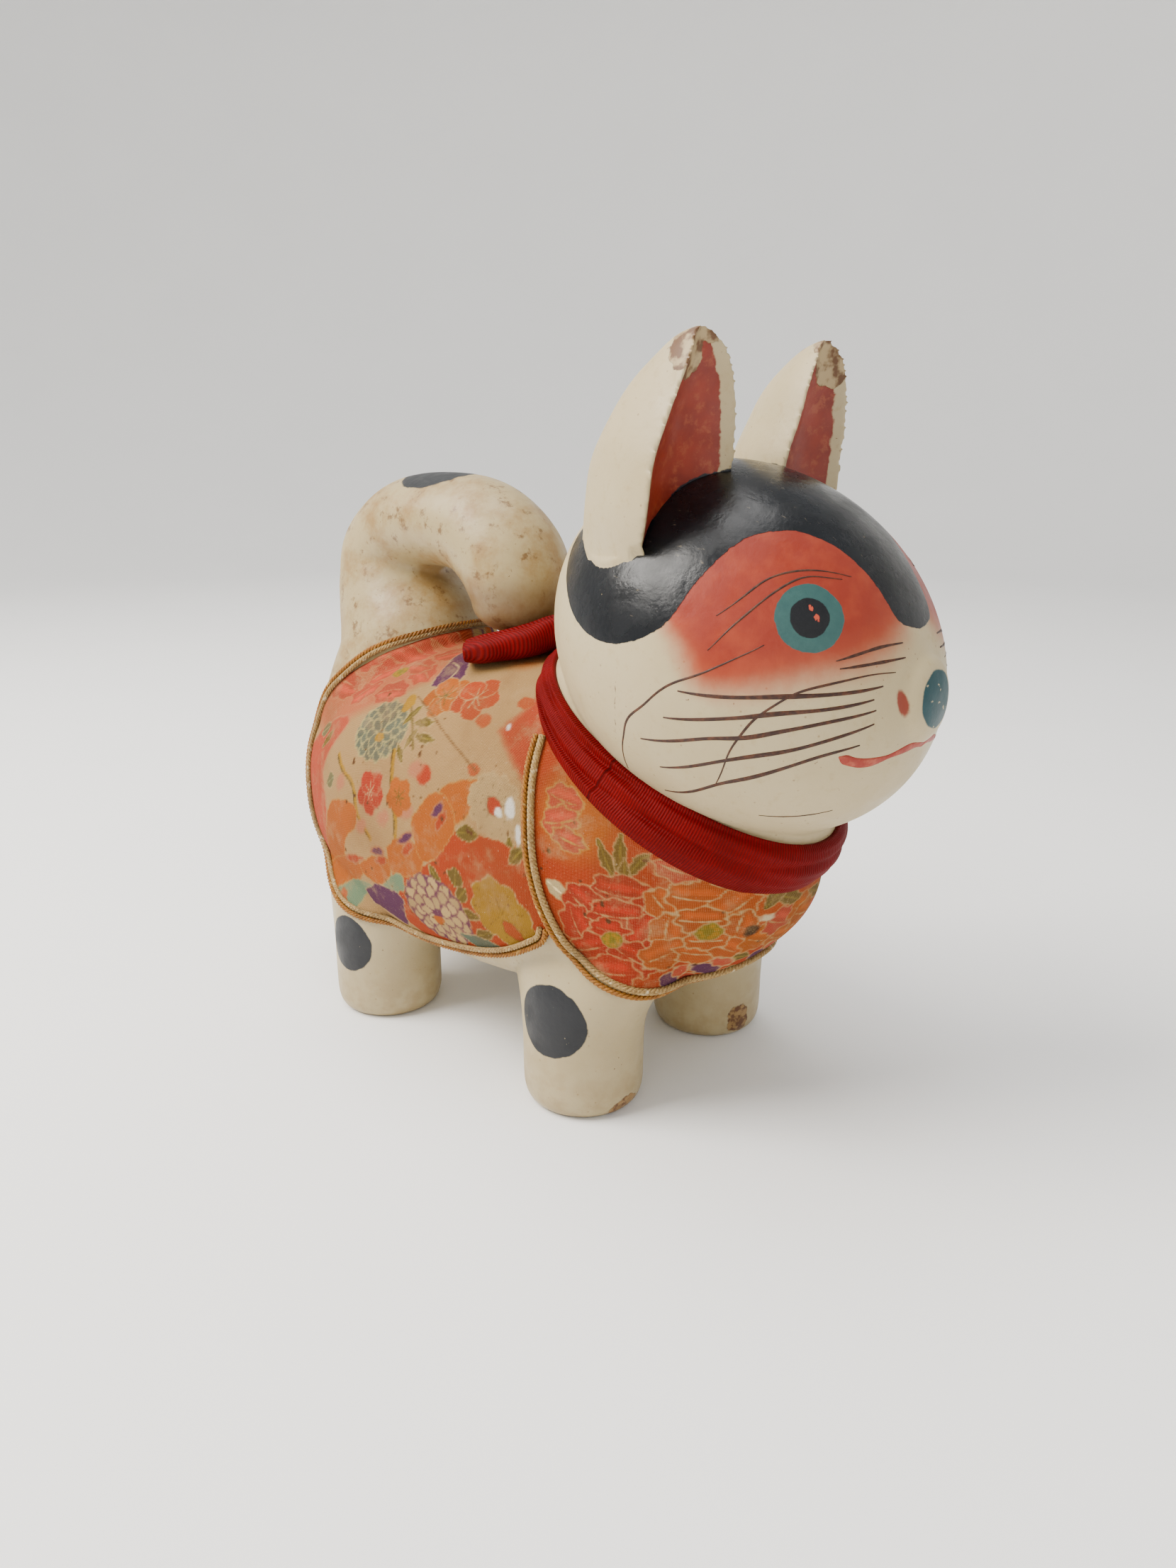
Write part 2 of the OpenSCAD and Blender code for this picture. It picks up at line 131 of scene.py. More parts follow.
def even(points, count):
    """The same line as count points spaced evenly along it."""
    p = np.asarray(points, float)
    return read_evenly(p, p, count)


def length(points):
    return float(np.linalg.norm(np.diff(points, axis=0), axis=1).sum())


def unit(v):
    return v / np.maximum(np.linalg.norm(v, axis=-1, keepdims=True), 1e-9)


def signed_power(v, p):
    return np.sign(v) * np.abs(v) ** p


def turned(points, angle):
    """Points turned about X by an angle in radians."""
    c, s = math.cos(angle), math.sin(angle)
    p = np.asarray(points, float)
    return np.stack([p[..., 0], c * p[..., 1] - s * p[..., 2], s * p[..., 1] + c * p[..., 2]], axis=-1)


def from_head(local):
    """Points of the head's own frame, nose towards -Y, in the row frame."""
    return turned(local, HEAD_TILT) + HEAD_MID


def to_head(points):
    return turned(np.asarray(points) - HEAD_MID, -HEAD_TILT)


def grid_faces(rows, columns, loop=False):
    """Quads over a grid of rows x columns points; loop joins the last column to the first."""
    j = np.arange(rows - 1)[:, None]
    i = np.arange(columns if loop else columns - 1)[None, :]
    nxt = (i + 1) % columns
    a, b = j * columns + i, j * columns + nxt
    return np.stack([a, b, b + columns, a + columns], axis=-1).reshape(-1, 4)


def grid_normals(grid, loop=False):
    """Normals of a grid of points, from its neighbours."""
    down = np.gradient(grid, axis=0)
    if loop:
        across = (np.roll(grid, -1, axis=1) - np.roll(grid, 1, axis=1)) / 2
    else:
        across = np.gradient(grid, axis=1)
    return unit(np.cross(across, down))


def skin(rings):
    """(points, faces) of a closed skin over rings of equal length, with its ends closed."""
    k, n, _ = rings.shape
    points = np.vstack([rings.reshape(-1, 3), rings[0].mean(axis=0), rings[-1].mean(axis=0)])
    faces = grid_faces(k, n, loop=True).tolist()
    first, last, base = k * n, k * n + 1, (k - 1) * n
    faces += [[first, (i + 1) % n, i] for i in range(n)]
    faces += [[last, base + i, base + (i + 1) % n] for i in range(n)]
    return points, faces


def joined(parts):
    """Several (points, faces) as one."""
    points, faces, start = [], [], 0
    for p, f in parts:
        points.append(p)
        faces += [[v + start for v in face] for face in f]
        start += len(p)
    return np.vstack(points), faces


def closed_sheet(outer, inner, loop=False):
    """(points, faces) of a closed sheet between two grids of points."""
    rows, columns, _ = outer.shape
    n = rows * columns
    top = grid_faces(rows, columns, loop)
    under = top[:, ::-1] + n
    def rim(line):
        a, b = line[:-1], line[1:]
        return np.stack([b, a, a + n, b + n], axis=-1)
    index = np.arange(n).reshape(rows, columns)
    if loop:
        index = np.hstack([index, index[:, :1]])
    rims = [rim(index[0]), rim(index[-1][::-1])]
    if not loop:
        rims += [rim(index[:, 0][::-1]), rim(index[:, -1])]
    faces = np.vstack([top, under] + rims)
    return np.vstack([outer.reshape(-1, 3), inner.reshape(-1, 3)]), faces.tolist()


# ---------------------------------------------------------------- objects
def linked(name, data):
    """A new object in the scene."""
    obj = bpy.data.objects.new(name, data)
    bpy.context.scene.collection.objects.link(obj)
    return obj


def outward_mesh(name, points, faces):
    """A mesh from millimetres, with its faces turned outwards."""
    mesh = bpy.data.meshes.new(name)
    mesh.from_pydata((np.asarray(points) * MM).tolist(), [], faces)
    bm = bmesh.new()
    bm.from_mesh(mesh)
    bmesh.ops.recalc_face_normals(bm, faces=bm.faces)
    bm.to_mesh(mesh)
    bm.free()
    return mesh


def build(name, points, faces, material):
    """A smooth shaded mesh object from millimetres."""
    mesh = outward_mesh(name, points, faces)
    mesh.shade_smooth()
    mesh.materials.append(material)
    return linked(name, mesh)


def value_on(obj, name, values):
    """A number at every point of a piece, for its material to read."""
    attribute = obj.data.attributes.new(name, "FLOAT", "POINT")
    attribute.data.foreach_set("value", np.asarray(values, np.float32))


def vector_on(obj, name, values):
    attribute = obj.data.attributes.new(name, "FLOAT_VECTOR", "POINT")
    attribute.data.foreach_set("vector", np.asarray(values, np.float32).ravel())


def linear(colour):
    """An sRGB colour from 0 to 1 as Blender's linear colour."""
    c = np.asarray(colour, float)
    return np.where(c <= 0.04045, c / 12.92, ((c + 0.055) / 1.055) ** 2.4)


def colour_on(obj, name, values):
    """A colour, given as sRGB from 0 to 1, at every point of a piece."""
    rgba = np.hstack([linear(values), np.ones((len(values), 1))]).astype(np.float32)
    attribute = obj.data.color_attributes.new(name, "FLOAT_COLOR", "POINT")
    attribute.data.foreach_set("color", rgba.ravel())


def fuse(forms, voxel, rounds):
    """One smooth closed surface over closed forms: its points and faces."""
    obj = linked("forms", outward_mesh("forms", *joined(forms)))
    remesh = obj.modifiers.new("remesh", "REMESH")
    remesh.mode = "VOXEL"
    remesh.voxel_size = voxel * MM
    relax = obj.modifiers.new("relax", "SMOOTH")
    relax.factor = 0.5
    relax.iterations = rounds
    done = obj.evaluated_get(bpy.context.evaluated_depsgraph_get()).to_mesh()
    out = np.empty(len(done.vertices) * 3)
    done.vertices.foreach_get("co", out)
    quads = [tuple(p.vertices) for p in done.polygons]
    bpy.data.objects.remove(obj)
    return out.reshape(-1, 3) / MM, quads


def scored(surface, planes):
    """The surface with edges where it crosses each (point, normal) plane: points, normals, faces."""
    points, faces = surface
    mesh = bpy.data.meshes.new("scored")
    mesh.from_pydata(points.tolist(), [], faces)
    bm = bmesh.new()
    bm.from_mesh(mesh)
    for place, across in planes:
        everything = bm.verts[:] + bm.edges[:] + bm.faces[:]
        bmesh.ops.bisect_plane(bm, geom=everything, dist=1e-4, plane_co=place, plane_no=across)
    bm.normal_update()
    bm.verts.index_update()
    out = (np.array([v.co for v in bm.verts]), np.array([v.normal for v in bm.verts]),
           [[v.index for v in f.verts] for f in bm.faces])
    bm.free()
    bpy.data.meshes.remove(mesh)
    return out


def shell(name, surface, kept, planes, material):
    """A closed paper shell over the part of a scored surface where kept(face middles) is true."""
    points, normals, faces = surface
    middles = np.array([points[f].mean(axis=0) for f in faces])
    chosen = [faces[i] for i in np.nonzero(kept(middles))[0]]
    used = sorted({v for f in chosen for v in f})
    new = {v: i for i, v in enumerate(used)}
    chosen = [[new[v] for v in f] for f in chosen]
    outer, out = points[used], normals[used]
    inner = outer - out * WALL
    for place, across in planes:
        on = np.abs((outer - place) @ across) < 1e-2
        inner[on] -= ((inner[on] - place) @ across)[:, None] * across
    n = len(used)
    edges = {}
    for f in chosen:
        for a, b in zip(f, f[1:] + f[:1]):
            edges[(a, b)] = True
    rim = [(a, b) for a, b in edges if (b, a) not in edges]
    inside = [[v + n for v in reversed(f)] for f in chosen]
    rims = [[b, a, a + n, b + n] for a, b in rim]
    mesh = bpy.data.meshes.new(name)
    mesh.from_pydata((np.vstack([outer, inner]) * MM).tolist(), [], chosen + inside + rims)
    mesh.shade_smooth()
    mesh.materials.append(material)
    loops = [out[v] for f in chosen for v in f] + [-out[v - n] for f in inside for v in f]
    loops += [(0.0, 0.0, 0.0)] * (4 * len(rims))
    mesh.normals_split_custom_set([tuple(v) for v in loops])
    return linked(name, mesh)


def places(obj):
    """The points of a piece, in millimetres."""
    out = np.empty(len(obj.data.vertices) * 3)
    obj.data.vertices.foreach_get("co", out)
    return out.reshape(-1, 3) / MM


def tree(surface, kept=None):
    """A surface to cast rays on, or the part of it where kept(face middles) is true."""
    points, faces = surface[0], surface[-1]
    if kept is not None:
        middles = np.array([points[list(f)].mean(axis=0) for f in faces])
        faces = [faces[i] for i in np.nonzero(kept(middles))[0]]
    return BVHTree.FromPolygons(points.tolist(), faces)


def cast(on, start, towards):
    """Where rays from start towards points first meet a surface; the start's own aim where they miss."""
    hits = np.empty_like(start)
    for i, (a, b) in enumerate(zip(start, towards)):
        place = on.ray_cast(Vector(a), Vector(b - a))[0]
        hits[i] = b if place is None else place
    return hits


# ---------------------------------------------------------------- forms
def trunk_point(y, angle, grow=0.0):
    """Points of the trunk's surface at y and an angle round the section, in degrees."""
    y, a = np.asarray(y, float), np.radians(angle)
    blunt = np.where(y < TRUNK_Y, CHEST_BLUNT, RUMP_BLUNT)
    along = np.minimum(np.abs(y - TRUNK_Y) / (TRUNK_HALF_L + grow), 1)
    size = (1 - along**blunt) ** (1 / blunt)
    up = np.sin(a) > 0
    square = 2 / np.where(up, BACK_SQUARE, BELLY_SQUARE)
    x = -(TRUNK_HALF_W + grow) * size * signed_power(np.cos(a), square)
    z = (TRUNK_Z + END_LIFT * along**blunt
         + (np.where(up, BACK_H, BELLY_H) + grow) * size * signed_power(np.sin(a), square))
    return np.stack(np.broadcast_arrays(x, y, z), axis=-1)


def trunk_form(n=120, k=90):
    t = np.pi * (np.arange(k + 1) + 0.12) / (k + 0.24)
    blunt = np.where(np.cos(t) > 0, CHEST_BLUNT, RUMP_BLUNT)
    y = TRUNK_Y - TRUNK_HALF_L * signed_power(np.cos(t), 2 / blunt)
    return skin(trunk_point(y[:, None], np.linspace(180, -180, n, endpoint=False)[None, :]))


def neck_ring(ring, angle, grow=0.0):
    """Points of a ring round the neck: -90 is at the throat and 90 at the nape."""
    y, z, tilt, half_w, half_l = ring
    a, tilt = np.radians(angle), math.radians(tilt)
    v = (half_l + grow) * np.sin(a)
    return np.stack([-(half_w + grow) * np.cos(a), y + v * math.cos(tilt), z + v * math.sin(tilt)], axis=-1)


def neck_form(n=96):
    a = np.linspace(0, 360, n, endpoint=False)
    return skin(np.array([neck_ring(r, a, -RIBBON) for r in smooth(NECK, 6)]))


def leg_form(side, front, n=48):
    a = np.linspace(0, 2 * np.pi, n, endpoint=False)
    rings = []
    for z, mid, half_w, half_l in smooth(LEG, 3):
        x = side * (TRACK / 2 + mid) + FOOT_R * half_w * np.cos(a)
        y = LEGS_Y + front * WHEELBASE / 2 + FOOT_R * half_l * np.sin(a)
        rings.append(np.stack([x, y, np.full(n, max(z, 0))], axis=-1))
    return skin(np.array(rings))


def tail_form(n=64):
    a = np.linspace(0, 2 * np.pi, n, endpoint=False)
    p = smooth(TAIL, 6)
    run = unit(np.gradient(p[:, :2], axis=0))
    rings = []
    for (y, z, half_w, half_t), (dy, dz) in zip(p, run):
        v = half_t * np.sin(a)
        rings.append(np.stack([half_w * np.cos(a), y - dz * v, z + dy * v], axis=-1))
    return skin(np.array(rings))


def egg(half, n=128, k=96):
    t = np.pi * (np.arange(k + 1) + 0.12) / (k + 0.24)
    a = np.linspace(0, 2 * np.pi, n, endpoint=False)
    rings = np.stack(np.broadcast_arrays(
        half[0] * np.sin(t)[:, None] * np.cos(a), -half[1] * np.cos(t)[:, None],
        half[2] * np.sin(t)[:, None] * np.sin(a)), axis=-1)
    return skin(rings)


def head_form():
    points, faces = egg(HEAD_HALF)
    return from_head(points), faces


def nose_form():
    points, faces = egg(np.array([11, 3.85, 11.55]), 48, 32)
    return from_head(turned(points, math.radians(-31)) + [0, -54, 22]), faces


# The rounded pad where an ear laps the head, given for the left ear: its middle and radius.
EAR_PAD, EAR_PAD_R = np.array([41.0, -50.5, 182.5]), 12.0
# Rings like EAR's that carry it on down to the head, below the CAD's.
EAR_FOOT = [[-0.235, 26, -47, 31, -46, 3], [-0.215, 21, -51, 34, -50, 11], [-0.17, 17, -55, 36.5, -54, 18],
            [-0.09, 14, -60, 40, -57, 25]]


def ear_form(side, n=96):
    a = np.linspace(0, 2 * np.pi, n, endpoint=False)
    rings = []
    for up, x0, y0, x1, y1, depth in smooth(np.vstack([EAR_FOOT, EAR]), 6):
        half = max((x1 - x0) / 2, 1)
        back = 0.93 * depth * (1 + 0.22 * np.cos(a))
        hollow = EAR_HOLLOW * min(1, half / 14)
        y = np.where(np.sin(a) > 0, back * np.sin(a), hollow * np.sin(a) ** 2)
        rings.append(np.stack([side * ((x0 + x1) / 2 + half * np.cos(a)),
                               (y0 + y1) / 2 + (y1 - y0) / 2 * np.cos(a) + y,
                               np.full(n, EAR_BASE + (EAR_TIP - EAR_BASE) * up)], axis=-1))
    return skin(np.array(rings))


# ---------------------------------------------------------------- distances for the paint
def to_line(points, line):
    """Distance from each 2-D point to a line of points."""
    best = np.full(len(points), 1e9)
    line = np.asarray(line, float)
    for a, b in zip(line[:-1], line[1:]):
        d = b - a
        t = np.clip(((points - a) @ d) / max(d @ d, 1e-9), 0, 1)
        best = np.minimum(best, np.linalg.norm(points - a - t[:, None] * d, axis=1))
    return best


def within(points, outline):
    """True for 2-D points inside a closed outline."""
    p = np.asarray(outline, float)
    q = np.roll(p, -1, axis=0)
    inside = np.zeros(len(points), bool)
    for (x0, y0), (x1, y1) in zip(p, q):
        crosses = (y0 > points[:, 1]) != (y1 > points[:, 1])
        with np.errstate(divide="ignore", invalid="ignore"):
            at = x0 + (points[:, 1] - y0) * (x1 - x0) / (y1 - y0)
        inside ^= crosses & (points[:, 0] < at)
    return inside


def depth_in(points, outline, edge=None):
    """How far each 2-D point is inside an outline, negative outside; edge is the part that counts."""
    d = to_line(points, np.vstack([outline, outline[:1]]) if edge is None else edge)
    return np.where(within(points, outline), d, -d)


# The head's paint, on a map whose middle is the end of the snout: [outwards, up] in degrees of the egg,
# which are about millimetres. Both sides are alike.
CAP_FRONT = smooth([[0, 46], [10, 48], [13, 52], [15, 58], [18, 64], [23, 70], [31, 74], [37, 75], [48, 73],
                    [58, 68], [70, 56], [76, 47], [80, 39], [85, 27], [90, 18], [95, 10], [99, 4],
                    [105, -2], [112, -6], [120, -6], [128, -1], [135, 8], [140, 23]], 3)
CAP_REAR = smooth([[140, 23], [138, 42], [128, 64], [112, 86], [88, 106], [60, 120], [30, 128],
                   [0, 130]], 3)
PATCH_EDGE = smooth([[85, 27], [80, 22], [74, 13], [68, 14], [59, 20], [49, 27], [37, 33], [25, 38],
                     [16, 43], [10, 47]], 3)
EYE = np.array([43.0, 47.0])
# The eye's rings, in millimetres.
RING_R, PUPIL_R = 8.9, 5.1
# Two small chips in the pupil: [place, radius].
GLINTS = (([42.0, 50.0], 0.8), ([41.0, 47.5], 0.95))
NOSE_MID, NOSE_R = np.array([0.0, 27.0]), 8.6
NOSTRIL = np.array([14.5, 26.5])
STROKES = {
    "brow_1": (0.3, [[70, 39], [63, 47], [54, 56], [46, 60], [38, 62], [30, 62], [24, 61]]),
    "brow_2": (0.3, [[72, 26], [66, 37], [57, 48], [49, 55], [40, 60], [33, 60], [28, 60]]),
    "whisker_1": (0.42, [[37, 36], [30, 39], [21, 42], [12, 43]]),
    "whisker_2": (0.42, [[36, 34], [29, 36], [20, 38], [12, 39]]),
    "whisker_3": (0.6, [[77, 6], [69, 11], [61, 16], [52, 21], [39, 26], [22, 31]]),
    "whisker_4": (0.6, [[77, -8], [67, 3], [59, 10], [51, 16], [38, 22], [25, 27]]),
    "whisker_5": (0.6, [[77, -26], [71, -14], [65, -4], [57, 3], [50, 10], [38, 18], [24, 24]]),
    "whisker_6": (0.6, [[67, -32], [61, -14], [55, -4], [48, 3], [36, 13], [24, 20]]),
    "whisker_7": (0.6, [[57, -45], [56, -38], [55, -21], [51, -12], [45, -2], [37, 7], [27, 13]]),
    "cheek": (0.34, [[17, 35], [26, 34], [37, 30], [43, 27], [48, 24], [52, 19], [54, 16], [57, 11],
                     [58, 6], [59, -4], [57, -13], [55, -21]]),
    "jowl": (0.34, [[57, 35], [64, 28], [69, 22], [74, 15], [79, 8], [82, -1], [83, -10], [84, -19],
                    [83, -26], [80, -33], [77, -40], [71, -49], [65, -55]]),
    "chin": (0.28, [[38, -26], [30, -20], [22, -13]]),
}
# The mouth, thick at its corner: half width, line, and width along it.
MOUTH = (1.6, [[32, 8], [28, 7], [23, 7], [16, 10], [10, 12], [3, 14], [0, 12.5]],
         ([0, 0.06, 0.2, 0.5, 0.8, 1], [0.1, 0.9, 1.0, 0.45, 0.7, 0.5]))
CRACK = [[98, 7], [94, -7], [88, -24], [77, -45]]


def on_egg(u, v):
    """Points of the head's egg at a place of the paint map."""
    th, ph = np.radians(np.hypot(u, v)), np.arctan2(u, v)
    local = np.stack([-np.sin(th) * np.sin(ph), -np.cos(th), np.sin(th) * np.cos(ph)], axis=-1)
    return from_head(local * HEAD_HALF)


def paint_map(points):
    """The place on the paint map of points on the head."""
    n = unit(to_head(points) / HEAD_HALF)
    th = np.degrees(np.arccos(np.clip(-n[:, 1], -1, 1)))
    ph = np.arctan2(-n[:, 0], n[:, 2])
    return np.stack([th * np.sin(ph), th * np.cos(ph)], axis=-1)


def paint_head(obj):
    uv = paint_map(places(obj))
    uv[:, 0] = np.abs(uv[:, 0])
    cap = np.vstack([CAP_FRONT, CAP_REAR])
    value_on(obj, "cap", depth_in(uv, cap, cap))
    beside = (CAP_FRONT[:, 0] > 10) & (CAP_FRONT[:, 0] < 85)
    patch = np.vstack([PATCH_EDGE, CAP_FRONT[beside] + [0, 4]])
    value_on(obj, "patch", depth_in(uv, patch, PATCH_EDGE))
    at = places(obj) * [-1, 1, 1]
    at[:, 0] = np.abs(at[:, 0])
    value_on(obj, "eye", np.linalg.norm(at - on_egg(*EYE) * [-1, 1, 1], axis=1))
    value_on(obj, "nose", NOSE_R - np.linalg.norm((uv - NOSE_MID) * [1, 1.05], axis=1))
    slant = math.radians(-20)
    d = uv - NOSTRIL
    across = d[:, 0] * math.cos(slant) + d[:, 1] * math.sin(slant)
    along = -d[:, 0] * math.sin(slant) + d[:, 1] * math.cos(slant)
    value_on(obj, "nostril", 1.9 - np.hypot(across, along / 2.1))
    value_on(obj, "crack", to_line(uv, smooth(CRACK, 6)))
    glints = (r - np.linalg.norm((uv - g) * [1, 0.8], axis=1) for g, r in GLINTS)
    value_on(obj, "glint", np.maximum(*glints))


def relaxed(line, rounds):
    """The line with its small wobbles eased out and its ends kept."""
    line = line.copy()
    for _ in range(rounds):
        line[1:-1] = (line[:-2] + 2 * line[1:-1] + line[2:]) / 4
    return line


def stroke(on, line, half, side, profile=None, lift=0.13):
    """A thin tapered stroke of paint along a line of the paint map, as a closed strip on the surface."""
    curve = smooth(line, 4)
    n = max(int(length(curve) / 0.8), 8)
    uv = relaxed(even(curve, n), 40)
    t = np.linspace(0, 1, n)
    wide = half * np.clip(np.sin(np.pi * (0.06 + 0.88 * t)), 0.12, 1) ** 0.6
    if profile is not None:
        wide = half * np.interp(t, *profile)
    wide = wide * (1 + 0.1 * np.sin(t * 17 + half * 9))
    aim = on_egg(side * uv[:, 0], uv[:, 1])
    out = unit(aim - HEAD_MID)
    run = unit(np.gradient(aim, axis=0))
    across = unit(np.cross(run, out))
    rows = []
    for k in np.linspace(-1, 1, 5):
        edge = aim + across * (wide * k)[:, None]
        away = unit(edge - HEAD_MID)
        rows.append(cast(on, edge + away * 20, edge - away * 20) + away * lift * (1 - 0.9 * k * k))
    top = np.stack(rows, axis=1)
    under = top - out[:, None, :] * 0.35
    return closed_sheet(top, under)


# ---------------------------------------------------------------- cloth
def across_trunk(points):
    """[y, angle round the trunk's middle line] of points: 0 degrees at the right side, 90 at the back."""
    p = np.asarray(points, float)
    return np.stack([p[..., 1], np.degrees(np.arctan2(p[..., 2] - TRUNK_Z, -p[..., 0]))], axis=-1)


def patch_grid(first, last, near, far, rows, columns):
    """A grid filling four edges: first and last are its end rows, near and far its side columns."""
    f, l = even(first, columns), even(last, columns)
    a, b = even(near, rows), even(far, rows)
    s = np.linspace(0, 1, columns)[None, :, None]
    t = np.linspace(0, 1, rows)[:, None, None]
    ends = (1 - t) * f[None] + t * l[None]
    sides = (1 - s) * a[:, None] + s * b[:, None]
    corners = (1 - t) * ((1 - s) * f[0] + s * f[-1]) + t * ((1 - s) * l[0] + s * l[-1])
    return ends + sides - corners


def mirrored(grid):
    """The grid with its mirror image added beyond its first column."""
    other = grid[:, :0:-1].copy()
    other[..., 0] *= -1
    return np.concatenate([other, grid], axis=1)


def under_ribbon(first, last, count=16, tuck=3.5):
    """Points just inside the ribbon's lower edge between two angles round the neck."""
    ring = NECK[LOW].copy()
    ring[1] += tuck
    return neck_ring(ring, np.linspace(first, last, count), -1.0)


def wrinkle(points, scale, seed):
    """Soft unevenness from a few crossing waves, about -1 to 1."""
    waves = np.random.default_rng(seed)
    total = np.zeros(points.shape[:-1])
    for i in range(6):
        d = unit(waves.normal(size=3))
        total += np.sin(points @ d * 2 * np.pi / (scale * (0.6 + 0.25 * i)) + waves.uniform(0, 6.3))
    return total / 3.5


def cloth_sheet(name, base, material, fold=0.0, seed=1):
    """A closed sheet of the cloth's thickness on a grid of points that lie on the body."""
    rows, columns, _ = base.shape
    out = grid_normals(base)
    middle = rows // 2, columns // 2
    if out[middle] @ (base[middle] - [0, TRUNK_Y, TRUNK_Z]) < 0:
        out = -out
    along, across = (np.minimum(np.arange(n), np.arange(n)[::-1]) for n in (rows, columns))
    from_edge = np.minimum(along[:, None], across[None, :])
    puff = fold * (0.5 + 0.5 * wrinkle(base, 26, seed)) * np.clip(from_edge / 14, 0, 1)
    outer = base + out * (CLOTH + puff)[..., None]
    points, faces = closed_sheet(outer, base + out * 0.05)
    return build(name, points, faces, material), outer


def settled(on, points, core):
    """Points of the trunk's surface moved onto the body: level when low, out to the legs' sides."""
    flat = np.asarray(points, float).reshape(-1, 3)
    away = flat - core
    away[:, 1:] *= (0.3 + 0.7 * np.clip((flat[:, 2] - 60) / 25, 0, 1))[:, None]
    away = unit(away) * 30
    hit = cast(on, flat + away, flat - away)
    missed = np.linalg.norm(hit - flat, axis=1) > 25
    hit[missed] = flat[missed]
    return hit.reshape(np.shape(points))


def trunk_axis(points):
    """The point of the trunk's middle line level with each point."""
    flat = np.asarray(points, float).reshape(-1, 3)
    return np.stack([0 * flat[:, 1], flat[:, 1], np.full(len(flat), TRUNK_Z)], axis=-1)


# Below LOW_COAT the cloth goes out level to the legs. At the tail's foot, behind and above TAIL_FOOT, it
# stands no more than TAIL_CLIMB off the trunk.
LOW_COAT, TAIL_FOOT, TAIL_CLIMB = 85, (30, 120), 5


def saddle_base(on, rows=230, columns=230):
    """The points of the body that the saddle lies on, in rows from the neck back."""
    seam = across_trunk(trunk_point(*np.array(BIB_EDGE[:6]).T)) + [SEAM_GAP, 0]
    front = np.vstack([across_trunk(under_ribbon(90, 34)), seam,
                       across_trunk(trunk_point(*SADDLE_SIDE[0]))[None]])
    side = across_trunk(trunk_point(*np.array(SADDLE_SIDE).T))
    corner = 10
    bottom = smooth(side[:corner + 1], 6)
    rear = smooth(np.vstack([across_trunk(SADDLE_TOP)[::-1], side[corner:][::-1]]), 6)
    middle = np.array([front[0], [front[0][0] * 0.5 + 30, 90], rear[0]])
    flat = patch_grid(smooth(front, 6), rear, middle, bottom, rows, columns)
    y, a = flat[..., 0].ravel(), np.radians(flat[..., 1].ravel())
    core = np.stack([0 * y, y, np.full_like(y, TRUNK_Z)], axis=-1)
    out = np.stack([-np.cos(a), 0 * y, np.sin(a)], axis=-1)
    start, towards = core + out * 110, core + out * 10
    half, bare = cast(on, start, towards), cast(tree(trunk_form()), start, towards)
    low = half[:, 2] < LOW_COAT
    half[low] = settled(on, bare[low], trunk_axis(bare[low]))
    proud = np.linalg.norm(half - bare, axis=1) > TAIL_CLIMB
    climb = proud & (y > TAIL_FOOT[0]) & (half[:, 2] > TAIL_FOOT[1])
    half[climb] = bare[climb] + out[climb] * TAIL_CLIMB
    half = half.reshape(rows, columns, 3)
    half[:, 0, 0] = 0
    return mirrored(half)


CHEST_MID = np.array([0, -10.0, 88.0])


def round_chest(points):
    """[round, up] in degrees of points, seen from the middle of the chest."""
    d = np.asarray(points, float) - CHEST_MID
    return np.stack([np.degrees(np.arctan2(-d[..., 0], -d[..., 1])),
                     np.degrees(np.arctan2(d[..., 2], np.hypot(d[..., 0], d[..., 1])))], axis=-1)


def bib_base(on, rows=170, columns=190):
    """The points of the body that the bib lies on, in rows down the chest."""
    edge = round_chest(trunk_point(*np.array(BIB_EDGE).T))
    corner = 8
    top = round_chest(under_ribbon(-90, 34, 30))
    side = smooth(np.vstack([top[-1:], edge[:corner + 1]]), 6)
    bottom = smooth(edge[corner:][::-1], 6)
    middle = np.array([top[0], bottom[0]])
    flat = patch_grid(smooth(top, 3), bottom, middle, side, rows, columns)
    az, el = np.radians(flat[..., 0].ravel()), np.radians(flat[..., 1].ravel())
    out = np.stack([-np.sin(az) * np.cos(el), -np.cos(az) * np.cos(el), np.sin(el)], axis=-1)
    half = cast(on, CHEST_MID + out * 150, CHEST_MID + out * 10)
    low = half[:, 2] < LOW_COAT
    trunk = cast(tree(trunk_form()), CHEST_MID + out[low] * 150, CHEST_MID + out[low] * 10)
    half[low] = settled(on, trunk, CHEST_MID)
    half = half.reshape(rows, columns, 3)
    half[:, 0, 0] = 0
    return mirrored(half)


def both_sides(line):
    """The right side's line, then its mirror image back again."""
    other = line[-2::-1] * [-1, 1, 1]
    return np.vstack([line, other])


def on_cloth(on, line, lift, saddle):
    """A line moved onto the coat, its height above it given: the line and its outward directions."""
    core = trunk_axis(line) if saddle else CHEST_MID
    hit = settled(on, line, core)
    if saddle:
        # By the tail's foot the body's nearest place holds better than one straight below.
        high = (line[:, 2] > 118) & (line[:, 1] > 40)
        hit[high] = [on.find_nearest(Vector(p))[0] for p in line[high]]
    hit = relaxed(hit, 6)
    out = unit(hit - core)
    run = unit(np.gradient(hit, axis=0))
    out = unit(out - run * (out * run).sum(axis=1)[:, None])
    return hit + out * lift, out


